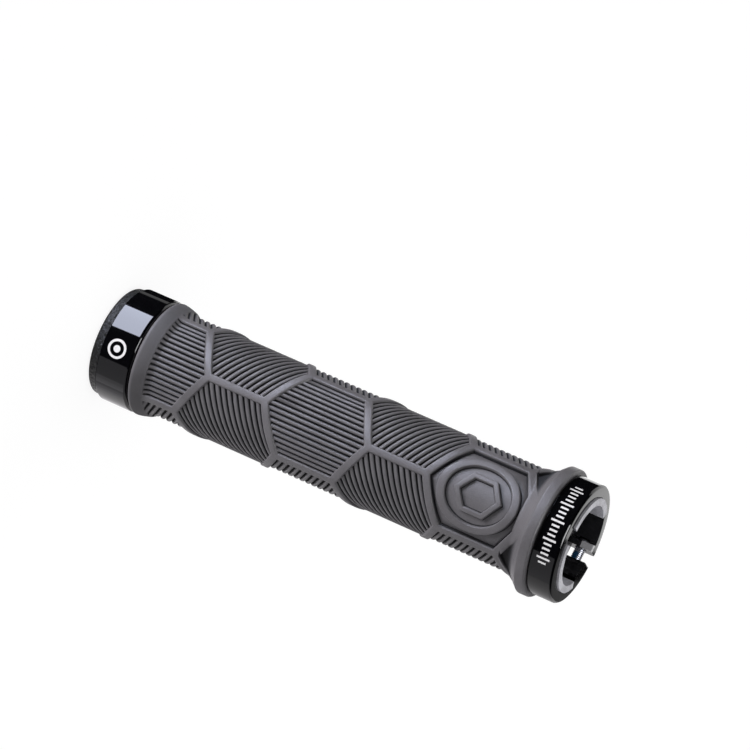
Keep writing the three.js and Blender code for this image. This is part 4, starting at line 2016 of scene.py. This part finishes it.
@dataclass
class Studio:
    """Floor, room light and lamps."""

    reach: float = 4.0
    lamps: tuple[Softbox, ...] = (
        Softbox("key_box", -48.0, -22.0, 0.5, 0.43, 0.22, 13.5, BLUE, 8.0, diffuse=False),
        Softbox("soft_key", -20.0, -48.0, 0.9, 0.45, 0.45, 17.0, ROSE, glossy=False),
        Softbox("soft_fill", -82.0, -26.0, 0.9, 0.5, 0.5, 3.1, ROSE, glossy=False),
        Softbox("end_fill", 0.0, 82.0, 0.8, 0.3, 0.3, 6.0, PALE_ROSE, glossy=False),
        Softbox("front_panel", 68.0, -8.0, 0.75, 0.76, 1.0, 0.5, LILAC),
        Softbox("side_panel", 132.5, 5.0, 0.75, 1.15, 0.65, 0.6, ROSE),
        Softbox("low_end_panel", 149.0, 0.0, 0.75, 0.9, 0.36, 1.1, ROSE, -375.0),
        Softbox("top_box", -13.0, 70.0, 0.6, 0.24, 0.42, 10.0, COOL, diffuse=False),
        Softbox("back_panel", 215.0, 0.0, 1.3, 1.893, 1.0, 1.15, aim=650.0),
        Softbox("dim_panel", 158.0, 0.0, 1.3, 0.95, 1.0, 0.16, aim=650.0, diffuse=False),
        Softbox("rim_panel", 231.0, 0.0, 0.9, 0.17, 0.3, 0.4, aim=-400.0, diffuse=False),
        Softbox("far_panel", 196.0, 0.0, 1.3, 0.75, 0.4, 1.6, aim=-220.0, diffuse=False),
    )
    strips: int = 5
    strip_start: float = 78.0
    strip_turn: float = 8.0
    strip_base: float = 0.3
    strip_gain: float = 0.18
    strip_distance: float = 0.75
    strip_height: float = 0.36
    strip_aim: float = -375.0

    def graded(self) -> list[Softbox]:
        """Narrow low panels side by side, each brighter than the last.

        Returns:
            The panels.
        """
        away = self.strip_distance
        size = (2 * away * math.tan(math.radians(self.strip_turn / 2)), self.strip_height)
        found = []
        for i in range(self.strips):
            azimuth = self.strip_start + self.strip_turn * (i + 0.5)
            glow = self.strip_base + self.strip_gain * i
            name = f"low_panel_{i}"
            found.append(Softbox(name, azimuth, 0.0, away, *size, glow, LILAC, self.strip_aim))
        return found

    def build(self) -> None:
        """Makes the studio."""
        Bench.clear()
        bpy.ops.mesh.primitive_grid_add(x_subdivisions=8, y_subdivisions=8, size=self.reach)
        floor = Bench("floor").object
        floor.data.materials.append(PaleFloor("pale_floor").build())
        floor.visible_glossy = False
        floor.visible_shadow = False
        StudioWorld().build()
        for lamp in (*self.lamps, *self.graded()):
            lamp.build()


@dataclass(frozen=True)
class ViewCamera:
    """Camera at the photograph's place, by the tilt and turn of the grip's axis in its view."""

    pixels: float = 4200.0
    frame: float = 750.0
    sensor: float = 36.0
    tilt: float = 0.3341
    turn: float = 0.4101
    offset: tuple[float, float, float] = (-7.6275, 17.3897, 1103.5524)
    middle: float = 70.8

    def build(self) -> None:
        """Makes the camera."""
        lean, turn = self.tilt, self.turn
        flat = math.cos(lean)
        along = Vector((flat * math.cos(turn), flat * math.sin(turn), -math.sin(lean)))
        across = Vector((-math.sin(turn), math.cos(turn), 0.0))
        rows = Matrix((across, along.cross(across), along))
        place = Vector((0.0, 0.0, self.middle)) - rows @ Vector(self.offset)
        right = rows @ Vector((1.0, 0.0, 0.0))
        up = rows @ Vector((0.0, -1.0, 0.0))
        back = rows @ Vector((0.0, 0.0, -1.0))
        view = Matrix((right, up, back)).transposed().to_4x4()
        view.translation = place * MM
        data = bpy.data.cameras.new("view_camera")
        data.sensor_width = self.sensor
        data.lens = self.pixels * self.sensor / self.frame
        data.clip_start = 0.05
        data.clip_end = 50.0
        camera = bpy.data.objects.new("view_camera", data)
        camera.matrix_world = view
        bpy.context.scene.collection.objects.link(camera)
        bpy.context.scene.camera = camera


# The whole grip.


def main() -> None:
    """Builds the dressed grip and its studio."""
    logging.basicConfig(level=logging.INFO, format="%(message)s", force=True)
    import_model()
    bpy.context.scene.view_settings.view_transform = "Standard"
    ViewCamera().build()
    Studio().build()
    rubber = MouldedRubber("moulded_rubber").build()
    core = HardPlastic("core_plastic_pale", (0.56, 0.56, 0.6), rough=0.42, grain=0.2).build()
    plug = HardPlastic(
        "plug_plastic_matt",
        (0.012, 0.012, 0.012),
        rough=0.32,
        grain=1.0,
        grain_scale=1000.0,
        grain_depth=0.8,
    ).build()
    outer_steel = PlatedSteel("outer_plated_steel", OUTER_MIDDLE).build()
    inner_steel = PlatedSteel("inner_plated_steel", INNER_MIDDLE).build()
    outer = AnodisedRing(
        "outer_anodising",
        RingPrint.TARGET,
        radius=16.0,
        print_height=7.3,
        print_turn=6.6,
        top=12.7,
    ).build()
    inner = AnodisedRing(
        "inner_anodising",
        RingPrint.SCALE,
        radius=16.5,
        print_height=137.2,
        print_turn=-12.0,
        top=140.8,
    ).build()
    pieces = [
        GripSleeve().build(rubber),
        CoreTube().build(core),
        ClampRing("outer_ring_body", "outer_clamp_ring", 32.0, 9.8, 2.9, (0.3, 1.0)).build(outer),
        ClampRing("inner_ring_body", "inner_clamp_ring", 33.0, 7.0, 133.8, (0.3, 0.7)).build(inner),
        PinchBolt("outer_bolt_body", "outer_clamp_bolt", OUTER_MIDDLE, 12.95).build(outer_steel),
        PinchBolt("inner_bolt_body", "inner_clamp_bolt", INNER_MIDDLE, 13.45).build(inner_steel),
        EndPlug().build(plug),
    ]
    LOG.info("pieces: %s", ", ".join(piece.name for piece in pieces))
    Bench.clear()


if __name__ == "__main__":
    main()
